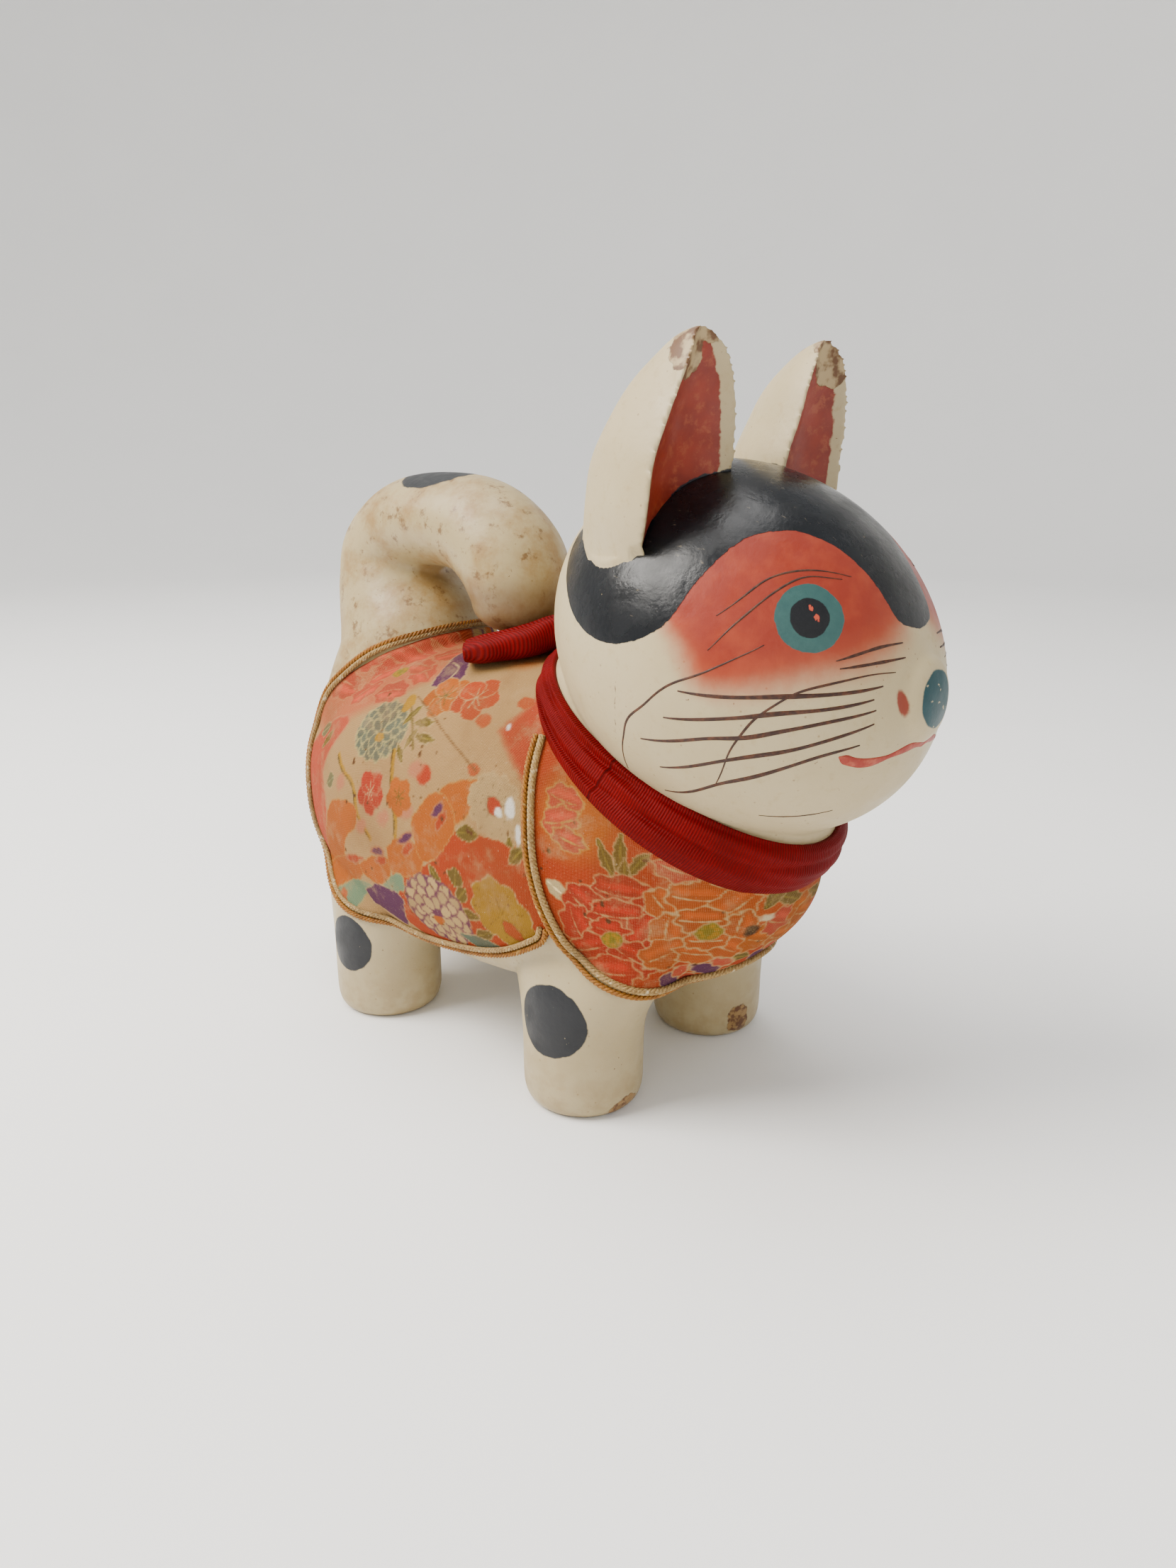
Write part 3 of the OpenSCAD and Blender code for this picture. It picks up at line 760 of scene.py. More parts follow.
def twisted(name, line, out, radius, pitch, material, strands=3, step=0.42, sides=7):
    """A cord of strands twisted together along a line."""
    count = int(length(line) / step)
    path, up = even(line, count), unit(read_evenly(line, out, count))
    at = np.linspace(0, run_of(line)[-1], count)
    run = unit(np.gradient(path, axis=0))
    side = unit(np.cross(run, up))
    up = np.cross(side, run)
    parts = []
    for k in range(strands):
        turn = 2 * np.pi * (at / pitch + k / strands)
        centre = path + (side * np.cos(turn)[:, None] + up * np.sin(turn)[:, None]) * radius * 0.46
        a = np.linspace(0, 2 * np.pi, sides, endpoint=False)
        ring = centre[:, None] + (side[:, None] * np.cos(a)[None, :, None]
                                  + up[:, None] * np.sin(a)[None, :, None]) * radius * 0.56
        parts.append(skin(ring))
    return build(name, *joined(parts), material)


# ---------------------------------------------------------------- the printed cloth
def rgb(r, g, b):
    """A paint's sRGB colour, deepened for the soft contrast that the render's view transform gives."""
    colour = np.array([r, g, b]) / 255
    grey = colour @ [0.3, 0.59, 0.11]
    strength = (colour.max() - colour.min()) / max(colour.max(), 0.01)
    return np.clip((grey + (colour - grey) * 1.42) * (0.86 - 0.27 * strength), 0, 1)


RED, ORANGE, GROUND = rgb(190, 62, 44), rgb(208, 122, 56), rgb(196, 80, 42)
CREAM, BEIGE, OLIVE = rgb(214, 190, 146), rgb(194, 164, 122), rgb(108, 98, 52)
PURPLE, GREY_BLUE, YELLOW = rgb(78, 38, 80), rgb(92, 104, 92), rgb(206, 164, 66)
TEAL, CORAL = rgb(118, 142, 118), rgb(204, 98, 78)
DIRT = rgb(84, 56, 38)


def away_from(mid, far, turn):
    """The place at a distance and direction from another on the flat cloth."""
    return np.array(mid) + far * np.array([math.cos(turn), math.sin(turn)])


class Print:
    """Colours at places on flat cloth, painted one shape over another, a little uneven as if by hand."""

    def __init__(self, where, ground):
        self.where = where
        self.colour = np.tile(ground, (len(where), 1))
        flat = np.hstack([where, np.zeros((len(where), 1))])
        self.wobble = 0.3 * wrinkle(flat, 4.0, 11) + 0.25 * wrinkle(flat, 1.9, 12)

    def lay(self, depth, colour, soft=0.45, wobble=1.0):
        cover = np.clip((depth + wobble * self.wobble) / soft + 0.5, 0, 1)[:, None]
        self.colour = self.colour * (1 - cover) + cover * colour

    def local(self, mid, angle):
        d = self.where - mid
        c, s = math.cos(angle), math.sin(angle)
        return np.stack([d[:, 0] * c + d[:, 1] * s, -d[:, 0] * s + d[:, 1] * c], axis=-1)

    def oval(self, mid, half, colour, angle=0.0, line=None, line_w=0.35, soft=0.45):
        far = np.linalg.norm(self.local(mid, angle) / half, axis=1)
        depth = (1 - far) * min(half)
        if line is not None:
            self.lay(depth + line_w, line)
        self.lay(depth, colour, soft)

    def shape(self, outline, colour, line=None, line_w=0.4, soft=0.45):
        closed = smooth(np.vstack([outline, outline[:1]]), 4)
        reach = np.ptp(closed, axis=0) / 2 + 9 + soft
        near = np.all(np.abs(self.where - closed.mean(axis=0)) < reach, axis=1)
        depth = np.full(len(self.where), -99.0)
        depth[near] = depth_in(self.where[near], closed)
        if line is not None:
            self.lay(depth + line_w, line)
        self.lay(depth, colour, soft)

    def leaf(self, mid, long, wide, angle, colour=OLIVE):
        q = self.local(mid, angle)
        t = np.clip(q[:, 0] / long, -1, 1)
        depth = wide * (1 - t * t) - np.abs(q[:, 1]) - 2 * np.maximum(np.abs(q[:, 0]) - long, 0)
        self.lay(depth + 0.35, CREAM)
        self.lay(depth, colour)
        self.lay(np.minimum(0.2 - np.abs(q[:, 1]), depth - 0.3), colour * 1.45, 0.3, 0.4)

    def vein(self, line, wide, colour):
        self.lay(wide - to_line(self.where, smooth(line, 4)), colour, 0.4, 0.5)

    def dahlia(self, mid, half, petal, line, core, core_at, back):
        """A flower of rounded petals in rings, each petal edged, round a small core."""
        half = np.array(half, float)
        self.oval(mid, half * 1.02, back, line=CREAM, line_w=0.3)
        for reach, count, shift in ((0.83, 15, 0.2), (0.58, 11, 0.5), (0.34, 7, 0.1)):
            for k in range(count):
                a = 2 * np.pi * (k + shift) / count
                at = np.array(mid) + half * [reach * math.cos(a), reach * math.sin(a) + 0.12 * (1 - reach)]
                tilt = math.atan2(half[1] * math.sin(a), half[0] * math.cos(a))
                tone = 0.93 + 0.05 * ((k * 7 + count) % 3)
                size = np.array([0.19, 0.13 + 0.03 * reach]) * half.mean()
                self.oval(at, size, petal * tone, tilt, line, 0.5)
        self.oval(np.array(mid) + half * core_at, half * 0.16, core)

    def rosette(self, mid, half, petal, core, petals=11, core_at=(0, 0)):
        """A flat flower with a ragged rim and faint lines out from its core."""
        half = np.array(half, float)
        q = self.local(mid, 0.2) / half
        far, turn = np.linalg.norm(q, axis=1), np.arctan2(q[:, 1], q[:, 0])
        rim = 0.88 + 0.12 * np.abs(np.cos(turn * petals / 2))
        depth = (rim - far) * min(half)
        self.lay(depth + 0.4, CREAM)
        self.lay(depth, petal)
        rays = np.abs(np.sin(turn * petals / 2)) * far * min(half)
        self.lay(np.minimum(0.25 - rays, depth - 0.5), petal * 0.72, 0.4)
        self.oval(np.array(mid) + half * core_at, half * 0.27, core, line=petal * 0.7, line_w=0.3)

    def plum(self, mid, r, petal, stamen, line=None, turn=0.3):
        """A five-petalled blossom with seven fine stamens."""
        for k in range(5):
            a = turn + 2 * np.pi * k / 5
            size = np.array([0.52, 0.48]) * r
            self.oval(away_from(mid, 0.5 * r, a), size, petal * (0.95 + 0.025 * k), a, line, 0.3)
        for k in range(7):
            tip = away_from(mid, 0.5 * r, turn + 2 * np.pi * k / 7)
            self.lay(0.16 - to_line(self.where, [mid, tip]), stamen, 0.3, 0.2)

    def peony(self, petals, core, line, petal=RED):
        """Big ruffled petals, each with a lighter fold and a fine edge, round a yellow-green core."""
        for y, g, a, b, turn in petals:
            q = self.local([y, g], turn)
            angle = np.arctan2(q[:, 1] / b, q[:, 0] / a)
            frill = 1 + 0.09 * np.cos(angle * 7 + y)
            depth = (frill - np.hypot(q[:, 0] / a, q[:, 1] / b)) * min(a, b)
            self.lay(depth + 0.45, line)
            self.lay(depth, petal * (0.93 + 0.02 * (int(y) % 5)))
            self.lay(np.minimum(depth - 1.0, 0.9 - np.abs(q[:, 1] - 0.35 * b)), petal * 1.16, 1.2)
            fine = 0.2 - np.abs(q[:, 1] + 0.15 * b - 0.02 * q[:, 0] ** 2)
            self.lay(np.minimum(depth - 0.8, fine), line, 0.3, 0.5)
        self.oval(core, [3.0, 2.8], rgb(150, 140, 60), line=line, line_w=0.3)
        for k in range(7):
            self.oval(away_from(core, 1.9, k * 2 * np.pi / 7), [0.6, 0.6], YELLOW)

    def dash(self, mid, half, turn, colour):
        self.oval(mid, half, colour, turn, rgb(196, 140, 104), 0.5)

    def dirt(self, count, box, seed):
        """Small dark specks strewn over a box of the cloth."""
        pick = np.random.default_rng(seed)
        low, high = np.array(box, float)
        for _ in range(count):
            at = low + (high - low) * pick.uniform(size=2)
            r = pick.uniform(0.18, 0.55)
            far = np.linalg.norm((self.where - at) * [1, pick.uniform(0.6, 1.4)], axis=1)
            self.lay(r - far, DIRT, 0.35)


def saddle_print(where):
    """The saddle's print. A place is [y, mm down from the middle of the back], negative on the left."""
    p = Print(where, BEIGE)
    # The left side has the same cloth turned half round.
    for move in (lambda y, g: [y, g], lambda y, g: [62 - y, -(124 - g)]):
        def all_of(points):
            return np.array([move(*q) for q in points], float)
        p.shape(all_of([(100, 36), (97, 12), (70, -6), (34, -2), (24, 14), (34, 34), (60, 47), (84, 48)]),
                rgb(206, 130, 98), soft=5)
        p.shape(all_of([(110, 50), (80, 46), (66, 50), (78, 62), (76, 79), (84, 96), (110, 96)]),
                CORAL, CREAM, soft=2)
        p.shape(all_of([(-8, 46), (-12, 30), (-2, 4), (-40, 6), (-40, 60), (-20, 54)]),
                rgb(196, 84, 60), soft=3)
        p.shape(all_of([(30, 101), (18, 98), (8, 92), (2, 82), (-6, 79), (-28, 74), (-40, 80), (-40, 126),
                        (26, 126)]), GROUND, CREAM, 0.3)
        p.shape(all_of([(34, 4), (22, -4), (2, 0), (4, 20), (26, 14)]), rgb(198, 132, 84), soft=6)
        petals = [(86, 22, 9, 6, -0.5), (76, 10, 10, 6, 0.4), (58, 8, 10, 6.5, 0.1), (40, 17, 8, 6, 0.6),
                  (72, 24, 9, 6, 0.2), (42, 31, 7, 5, -0.5), (58, 20, 8, 5.5, 0.2), (80, 34, 8, 4.6, -0.3),
                  (66, 38, 7, 4.6, 0.4), (50, 40, 7.5, 4.8, 0.1), (63, 30, 6, 4, 0.6), (47, 27, 6, 4.4, -0.2)]
        p.peony([(*move(y, g), a, b, t) for y, g, a, b, t in petals], move(55, 30),
                rgb(212, 150, 112), CORAL)
        p.shape(all_of([(32, 37), (34, 30), (37, 17), (28, 22), (22, 32), (26, 36)]), PURPLE, CREAM)
        p.vein([move(34, 24), move(28, 27), move(27, 34)], 0.3, CREAM)
        p.dahlia(move(44, 55), [13.5, 10], GREY_BLUE, rgb(200, 188, 138), YELLOW, (-0.05, 0.28),
                 rgb(96, 104, 92))
        p.plum(move(22, 40), 8.6, ORANGE, OLIVE, CREAM)
        p.plum(move(9, 38), 9.0, rgb(200, 90, 56), CREAM, CREAM, turn=0.7)
        for y, g, r in ((0, 45, 3.0), (-4, 60, 2.4), (-10, 34, 3.0)):
            p.oval(move(y, g), [r, r * 0.8], rgb(196, 104, 66))
        for y, g, long, wide, turn in (
                (31, 49, 4.6, 1.3, 1.0), (24, 51, 5.0, 1.5, 0.2), (21, 56, 5.0, 1.5, 0.0),
                (27, 57, 4.0, 1.2, 1.2), (30, 62, 4.0, 1.2, -0.9), (-6, 79, 4.6, 2.4, 0.3),
                (-20, 73, 4.8, 1.9, -0.5), (-25, 77, 4.4, 1.7, 1.0), (-1, 95, 3.4, 3.0, 1.4),
                (-3, 100, 3.6, 2.2, 0.9), (8, 98, 4.2, 1.7, -0.9), (-5, 106, 4.6, 1.7, 0.2),
                (-10, 111, 4.6, 1.7, 0.6), (80, 53, 4, 1.6, 0.6), (71, 70, 3.4, 2.6, 0.2),
                (84, 48, 3.4, 2.4, 0.1)):
            p.leaf(move(y, g), long, wide, turn, rgb(112, 112, 84) if g in (48, 70) else OLIVE)
        p.vein([move(34, 46), move(29, 52), move(24, 60)], 0.45, OLIVE)
        p.oval(move(36, 45), [2.6, 3.4], YELLOW, 0.2)
        for line in ([(33, 62), (30, 74), (27, 84), (27, 89)],
                     [(66, 62), (61, 68), (53, 74), (50, 84), (42, 92)]):
            p.vein([move(*q) for q in line], 0.9, YELLOW)
            p.vein([move(y + 0.8, g) for y, g in line], 0.25, OLIVE * 0.6)
        p.plum(move(42, 76), 7.6, rgb(192, 58, 44), CREAM, rgb(206, 150, 120))
        p.oval(move(16, 67), [3.2, 3.0], rgb(196, 72, 48), line=rgb(196, 140, 110))
        for y, g in ((34, 84), (20, 66), (62, 72), (22, 80), (48, 88)):
            p.oval(move(y, g), [3.4, 2.6], rgb(206, 146, 116), 0.4, soft=1.6)
        p.plum(move(26, 76), 6.4, ORANGE, OLIVE)
        for outline in ([(85, 99), (74, 80), (63, 78), (52, 81), (52, 88), (60, 92), (64, 99), (72, 108)],
                        [(8, 71), (4, 67), (-8, 62), (-10, 66), (-6, 73), (0, 78)],
                        [(85, 99), (79, 107), (65, 111), (53, 107), (52, 102), (63, 99)],
                        [(52, 102), (50, 106), (40, 109), (32, 104), (31, 98), (40, 98)],
                        [(32, 94), (30, 102), (19, 101), (13, 94), (18, 89), (26, 90)],
                        [(19, 83), (14, 94), (6, 90), (-1, 78), (6, 71), (13, 74)]):
            p.shape(all_of(outline), ORANGE, rgb(214, 170, 110), 0.35)
        for y, g, turn in ((7, 76, 1.0), (22, 89, 0.6), (38, 96, 0.1)):
            p.dash(move(y, g), [3.2, 1.3], turn if move(0, 0)[0] == 0 else turn + 3.1, PURPLE)
            p.dash(move(y - 1.5, g + 3), [3.0, 1.3], turn, rgb(192, 78, 46))
        p.dash(move(56, 100), [5.0, 1.4], 0.0, rgb(192, 78, 46))
        p.rosette(move(-15, 67), [10.5, 9.5], rgb(196, 172, 132), rgb(190, 70, 48), 13)
        p.shape(all_of([(95, 88), (85, 99), (78, 108), (54, 109), (41, 110), (27, 102), (26, 108),
                        (41, 112), (56, 115), (66, 120), (78, 113), (92, 101)]), TEAL, rgb(190, 176, 130))
        p.plum(move(70, 114), 4.6, rgb(200, 96, 54), YELLOW)
        p.shape(all_of([(54, 113), (41, 109), (28, 111), (29, 117), (32, 125), (39, 123), (51, 119)]),
                PURPLE, CREAM)
        p.dahlia(move(10, 111), [14.5, 12], rgb(212, 186, 140), rgb(98, 56, 84), ORANGE, (0.0, 0.3),
                 rgb(98, 56, 84))
        p.rosette(move(-19, 99), [12, 11], rgb(196, 158, 66), rgb(200, 96, 48), 9, (-0.25, 0.36))
        p.shape(all_of([(2, 117), (-6, 114), (-14, 114), (-16, 117), (-6, 120)]), rgb(88, 108, 96), CREAM)
    p.dirt(70, [[-32, 40], [62, 118]], 5)
    p.dirt(60, [[-32, -118], [62, -20]], 6)
    # Fold lines, worn white threads and a pinhole on the right side.
    p.vein([[34, 42], [22, 48], [10, 54], [-5, 60]], 0.28, rgb(122, 92, 62))
    for y, g, a, b in ((-21, 65, 1.7, 3.4), (-17, 68, 1.6, 1.4), (-25, 71, 0.9, 2.6), (-10, 44, 0.8, 1.0)):
        p.oval([y, g], [a, b], rgb(250, 246, 236), 0.2, soft=0.6)
    return p.colour


def bib_print(where):
    """The bib's print. A place is [mm round the chest, height], positive on the right."""
    p = Print(where, GROUND)
    for side, rise in ((1, 0), (-1, -3)):
        def at(u, v):
            return [u if side > 0 else -u - 4, v + rise]
        p.oval(at(58, 100), [13, 13], ORANGE, soft=7.0)
        p.oval(at(16, 82), [16, 14], rgb(208, 112, 62), soft=8.0)
        for u, v, a, b, turn in ((62, 104, 6, 4, 0.2), (63, 98, 6, 4, -0.2), (60, 93, 5, 3, 0.3)):
            p.peony([(*at(u, v), a, b, turn)], at(u, v + 60), rgb(212, 176, 110), CORAL)
        for u, v, long, wide, turn in ((49, 89, 6, 1.5, 1.2), (45, 91, 6.5, 1.6, 1.6), (41, 88, 6, 1.4, 2.2),
                                       (44, 84, 6, 1.4, 1.6), (4, 75, 6, 2.2, 0.5), (9, 78, 5, 2, 2.2),
                                       (14, 56, 5, 2, 0.2), (9, 47, 5, 2, 0.9), (20, 47, 4, 1.6, 0.4)):
            p.leaf(at(u, v), long, wide, turn)
        p.leaf(at(63, 77), 5, 2.2, 0.6, rgb(214, 196, 156))
        petals = [(45, 79, 8, 5.5, 0.1), (36, 75, 6.5, 5.5, -0.7), (55, 74, 7, 5.5, 0.7),
                  (57, 67, 6.5, 5, 1.2), (46, 72, 7.5, 5, 0.0), (38, 67, 6.5, 5.5, -1.1),
                  (52, 60, 7, 5, -0.4), (41, 58, 7, 5, 0.5), (47, 53, 7, 4.5, 0.0), (48, 67, 5, 3.4, 0.1)]
        p.peony([(*at(u, v), a, b, t) for u, v, a, b, t in petals], at(47, 63.5), rgb(212, 172, 128))
        paler = [(34, 76, 6, 4.5, 0.9), (27, 79, 7, 5, 0.1), (19, 76, 6, 5, -0.7), (33, 68, 6, 4.5, 1.6),
                 (17, 68, 6, 4.5, 1.6), (33, 60, 6.5, 5, -0.6), (24, 60, 6.5, 4.5, 0.1), (18, 61, 5, 4, 0.6),
                 (26, 72, 5.5, 4, 0.0), (24, 65, 5, 3.4, 0.0)]
        p.peony([(*at(u, v), a, b, t) for u, v, a, b, t in paler], at(24, 68),
                rgb(216, 190, 146), rgb(204, 112, 58))
        for u, v, a, b, tone in ((11, 63, 4, 5, ORANGE), (6, 68, 4.5, 5, CORAL), (2, 60, 5, 5, ORANGE),
                                 (9, 85, 5, 4, YELLOW), (32, 88, 5, 4, CORAL), (-1, 70, 4, 5, ORANGE)):
            p.peony([(*at(u, v), a, b, 0.4)], at(u, v + 60), rgb(212, 176, 130), tone)
        for u, v, a, b in ((4, 53, 5, 2.4), (20, 52, 5, 2.4), (27, 46, 5, 2.2), (14, 45, 4, 1.8),
                           (31, 50, 3, 3)):
            p.oval(at(u, v), [a, b], PURPLE, 0.5, CREAM, 0.4)
            p.oval(at(u - 3, v + 2.6), [a * 0.8, b * 0.7], CORAL, 0.5, CREAM, 0.4)
    p.dirt(60, [[-60, 50], [72, 104]], 8)
    p.oval([14, 67], [1.5, 1.6], rgb(24, 12, 8), 0.5, rgb(116, 66, 40), 0.6)
    p.oval([11, 70.5], [2.4, 1.2], rgb(236, 222, 190), soft=0.8)
    return p.colour


def girth_down(points):
    """Millimetres down the trunk's side from the middle of the back, negative on the left."""
    section = trunk_point(TRUNK_Y, np.linspace(90, -80, 300))
    turn = 90 - across_trunk(section)[:, 1]
    along = np.minimum(np.abs(points[..., 1] - TRUNK_Y) / TRUNK_HALF_L, 0.98)
    size = np.sqrt(1 - along**2)
    angle = 90 - np.degrees(np.arctan2(points[..., 2] - TRUNK_Z, np.abs(points[..., 0])))
    return -np.sign(points[..., 0]) * size * np.interp(angle, turn, run_of(section))


# ---------------------------------------------------------------- ribbon and bow
def ribbon_grid(columns=720, rows=30):
    """The neck band's outer and inner points, with soft folds running round it."""
    a = np.linspace(0, 360, columns, endpoint=False)
    low, mid, top = (neck_ring(NECK[i], a, g) for i, g in ((LOW, 0.0), (MID, 0.4), (TOP, 0.0)))
    v = np.linspace(0, 1, rows)[:, None, None]
    base = (1 - v) * (1 - 2 * v) * low + 4 * v * (1 - v) * mid + v * (2 * v - 1) * top
    turn, w = np.radians(a)[None, :], v[..., 0]
    drift = 0.16 * np.sin(turn + 0.6) + 0.1 * np.sin(2 * turn + 1.1) + 0.05 * np.sin(5 * turn)
    fold = np.abs(np.sin(np.pi * (2.3 * w + 1.5 * drift))) ** 0.6 * (0.85 + 0.15 * np.sin(turn * 3 + 2))
    fine = 0.22 * np.sin(2 * np.pi * (4.1 * w - 1.6 * drift + 0.06 * np.sin(9 * turn)))
    rise = (1.5 * fold + fine + 0.2) * np.clip(np.minimum(w, 1 - w) * 7, 0.15, 1)
    out = grid_normals(base, loop=True)
    if out[rows // 2, 0, 0] > 0:
        out = -out
    outer = base + out * rise[..., None]
    return outer, base - out * (RIBBON - 0.1)


def loop_form(side, n=64):
    """A flattened ribbon loop lying back over the coat, with a groove along it."""
    p = smooth(LOOP * [1, 1, 1, 1.1, 2.3] + [1.5, -2.5, 2.6, 0, 0], 10)[:-4]
    run = unit(np.gradient(p[:, :3], axis=0))
    level = unit(np.cross([0, 0, 1], run))
    up = np.cross(run, level)
    a = np.linspace(0, 2 * np.pi, n, endpoint=False)
    x = signed_power(np.cos(a), 0.75)
    y = signed_power(np.sin(a), 0.8)
    groove = 0.55 * np.exp(-((x - 0.15) / 0.2) ** 2) + 0.25 * np.exp(-((x + 0.45) / 0.13) ** 2)
    y = np.where(y > 0, y * (1.15 - groove), y)
    t = np.linspace(0, 1, len(p))[:, None]
    ripple = 1 + 0.06 * np.sin(t * 21 + 5 * x[None, :])
    rings = (p[:, None, :3] + level[:, None] * (p[:, 3:4] * x * ripple)[..., None]
             + up[:, None] * (p[:, 4:5] * y)[..., None])
    rings[..., 0] *= -side
    return skin(rings)


def knot_form():
    points, faces = egg(np.array([6.5, 4, 5]), 64, 40)
    turn = np.arctan2(points[:, 1] / 4, points[:, 2] / 5)
    middle = np.clip(1.2 - np.abs(points[:, 0]) / 6.5, 0, 1)
    pleat = 1 + 0.05 * np.sin(turn * 9 + points[:, 0] * 0.35) * middle
    points = points * pleat[:, None]
    return turned(points, math.radians(-8)) + [0, 5, 141], faces


# ---------------------------------------------------------------- materials
class Paint:
    """A material made of nodes, with short calls for the nodes it needs. Colours are sRGB, 0 to 1."""

    def __init__(self, name, rough=0.5, **sockets):
        self.material = bpy.data.materials.new(name)
        self.material.use_nodes = True
        self.tree = self.material.node_tree
        self.shader = self.tree.nodes["Principled BSDF"]
        self.shader.inputs["Roughness"].default_value = rough
        for key, value in sockets.items():
            self.shader.inputs[key.replace("_", " ")].default_value = value

    def node(self, kind, output=0, settings=None, **inputs):
        """A new node's output. An input is given by its name, or by its number as i0, i1 and so on."""
        node = self.tree.nodes.new(kind)
        for key, value in (settings or {}).items():
            setattr(node, key, value)
        for key, value in inputs.items():
            numbered = key[0] == "i" and key[1:].isdigit()
            socket = node.inputs[int(key[1:]) if numbered else key.replace("_", " ")]
            if isinstance(value, bpy.types.NodeSocket):
                self.tree.links.new(value, socket)
            else:
                socket.default_value = value
        return node.outputs[output]

    def here(self):
        return self.node("ShaderNodeTexCoord", "Object")

    def value(self, name):
        return self.node("ShaderNodeAttribute", "Fac", {"attribute_name": name})

    def painted(self, name):
        return self.node("ShaderNodeAttribute", "Color", {"attribute_name": name})

    def vector(self, name):
        return self.node("ShaderNodeAttribute", "Vector", {"attribute_name": name})

    def noise(self, scale, detail=4.0, rough=0.55, where=None):
        """Noise from 0 to 1, its scale in features per metre."""
        return self.node("ShaderNodeTexNoise", "Fac", Vector=where or self.here(), Scale=scale,
                         Detail=detail, Roughness=rough)

    def wave(self, where, axis, scale, distortion):
        """Bands from 0 to 1 across an axis."""
        return self.node("ShaderNodeTexWave", "Fac", {"bands_direction": axis}, Vector=where, Scale=scale,
                         Distortion=distortion, Detail=1.0)

    def stretched(self, x, y, z):
        """The object's coordinates with each axis scaled."""
        return self.node("ShaderNodeMapping", "Vector", Vector=self.here(), Scale=(x, y, z))

    def sum(self, a, b, kind="ADD"):
        return self.node("ShaderNodeMath", 0, {"operation": kind}, i0=a, i1=b)

    def times(self, a, b):
        return self.sum(a, b, "MULTIPLY")

    def uneven(self, size, scale, detail=3, rough=0.55):
        """Noise from minus to plus half of size."""
        return self.times(self.sum(self.noise(scale, detail, rough), 0.5, "SUBTRACT"), size)

    def ramp(self, value, low, high, start=0.0, end=1.0):
        """value from low..high to start..end, smoothly and no further."""
        return self.node("ShaderNodeMapRange", "Result", {"interpolation_type": "SMOOTHSTEP"}, Value=value,
                         i1=low, i2=high, i3=start, i4=end)

    def mix(self, cover, under, over):
        """The colour over laid on the colour under, as far as cover says; both are colours or sockets."""
        def colour(c):
            return c if isinstance(c, bpy.types.NodeSocket) else (*linear(c), 1.0)
        return self.node("ShaderNodeMix", 2, {"data_type": "RGBA"}, i0=cover, i6=colour(under),
                         i7=colour(over))

    def bump(self, height, depth):
        """A bump whose height is depth millimetres."""
        return self.node("ShaderNodeBump", "Normal", Strength=1.0, Distance=depth * MM, Height=height)

    def finish(self, colour, rough=None, normal=None):
        for key, value in (("Base Color", colour), ("Roughness", rough), ("Normal", normal)):
            if value is not None:
                self.tree.links.new(value, self.shader.inputs[key])
        return self.material


CHALK = rgb(220, 206, 174)
CHALK_DARK = rgb(200, 180, 140)
BROWN, SLATE = rgb(112, 78, 50), rgb(15, 18, 23)


def chalk(p, stain=0.35, tone=CHALK):
    """Old chalk paint: its colour, roughness and bump, on the Paint given."""
    broad = p.noise(28, 3)
    fine = p.noise(320, 5, 0.65)
    base = p.mix(p.ramp(broad, 0.35, 0.75, 0, 0.55), tone, tone * [0.94, 0.92, 0.87])
    base = p.mix(p.ramp(fine, 0.52, 0.74, 0, stain), base, CHALK_DARK)
    specks = p.noise(760, 2, 0.5)
    base = p.mix(p.ramp(specks, 0.74, 0.79, 0, 0.75), base, BROWN)
    pits = p.node("ShaderNodeTexVoronoi", "Distance", Vector=p.here(), Scale=230.0)
    base = p.mix(p.ramp(pits, 0.05, 0.09, 0.5, 0.0), base, rgb(150, 122, 86))
    rough = p.ramp(p.noise(90, 3), 0.3, 0.7, 0.34, 0.55)
    height = p.sum(p.times(p.noise(60, 3), 1.0), p.times(p.noise(900, 3), 0.12))
    return base, rough, height


def edge(p, name, wobble=0.7, scale=420, sharp=0.18):
    """How far a painted shape covers, its outline a little uneven."""
    return p.ramp(p.sum(p.value(name), p.uneven(wobble * 2, scale)), -sharp, sharp)


def body_paint():
    p = Paint("painted_paper", Specular_IOR_Level=0.42)
    colour, rough, height = chalk(p, 0.4, rgb(204, 190, 158))
    low = p.node("ShaderNodeSeparateXYZ", "Z", Vector=p.here())
    grime = p.times(p.ramp(low, 0.0, 0.03, 0.55, 0.0), p.ramp(p.noise(150, 4), 0.35, 0.65))
    colour = p.mix(grime, colour, rgb(172, 150, 112))
    spot = edge(p, "spot", 0.7, 200, 0.25)
    flecks = p.ramp(p.noise(420, 4, 0.7), 0.68, 0.72, 1.0, 0.2)
    colour = p.mix(p.times(spot, flecks), colour, SLATE)
    chip = edge(p, "chip", 2.0, 260, 0.2)
    layers = p.mix(p.ramp(p.noise(430, 3), 0.42, 0.55), BROWN, rgb(176, 146, 104))
    colour = p.mix(chip, colour, layers)
    height = p.sum(height, p.times(chip, -0.6))
    return p.finish(colour, rough, p.bump(height, 0.5))


def tail_paint():
    p = Paint("tail_paper", Specular_IOR_Level=0.4)
    colour, rough, height = chalk(p, 0.5, rgb(204, 188, 152))
    colour = p.mix(p.ramp(p.noise(55, 5, 0.7), 0.42, 0.68, 0, 0.75), colour, rgb(176, 142, 92))
    colour = p.mix(p.ramp(p.noise(170, 4, 0.7), 0.56, 0.7, 0, 0.8), colour, rgb(128, 94, 58))
    colour = p.mix(edge(p, "spot", 1.5, 300, 0.4), colour, rgb(30, 32, 34))
    colour = p.mix(p.ramp(p.value("under"), 0.2, 1.0, 0, 0.6), colour, rgb(120, 92, 62))
    return p.finish(colour, rough, p.bump(height, 0.5))


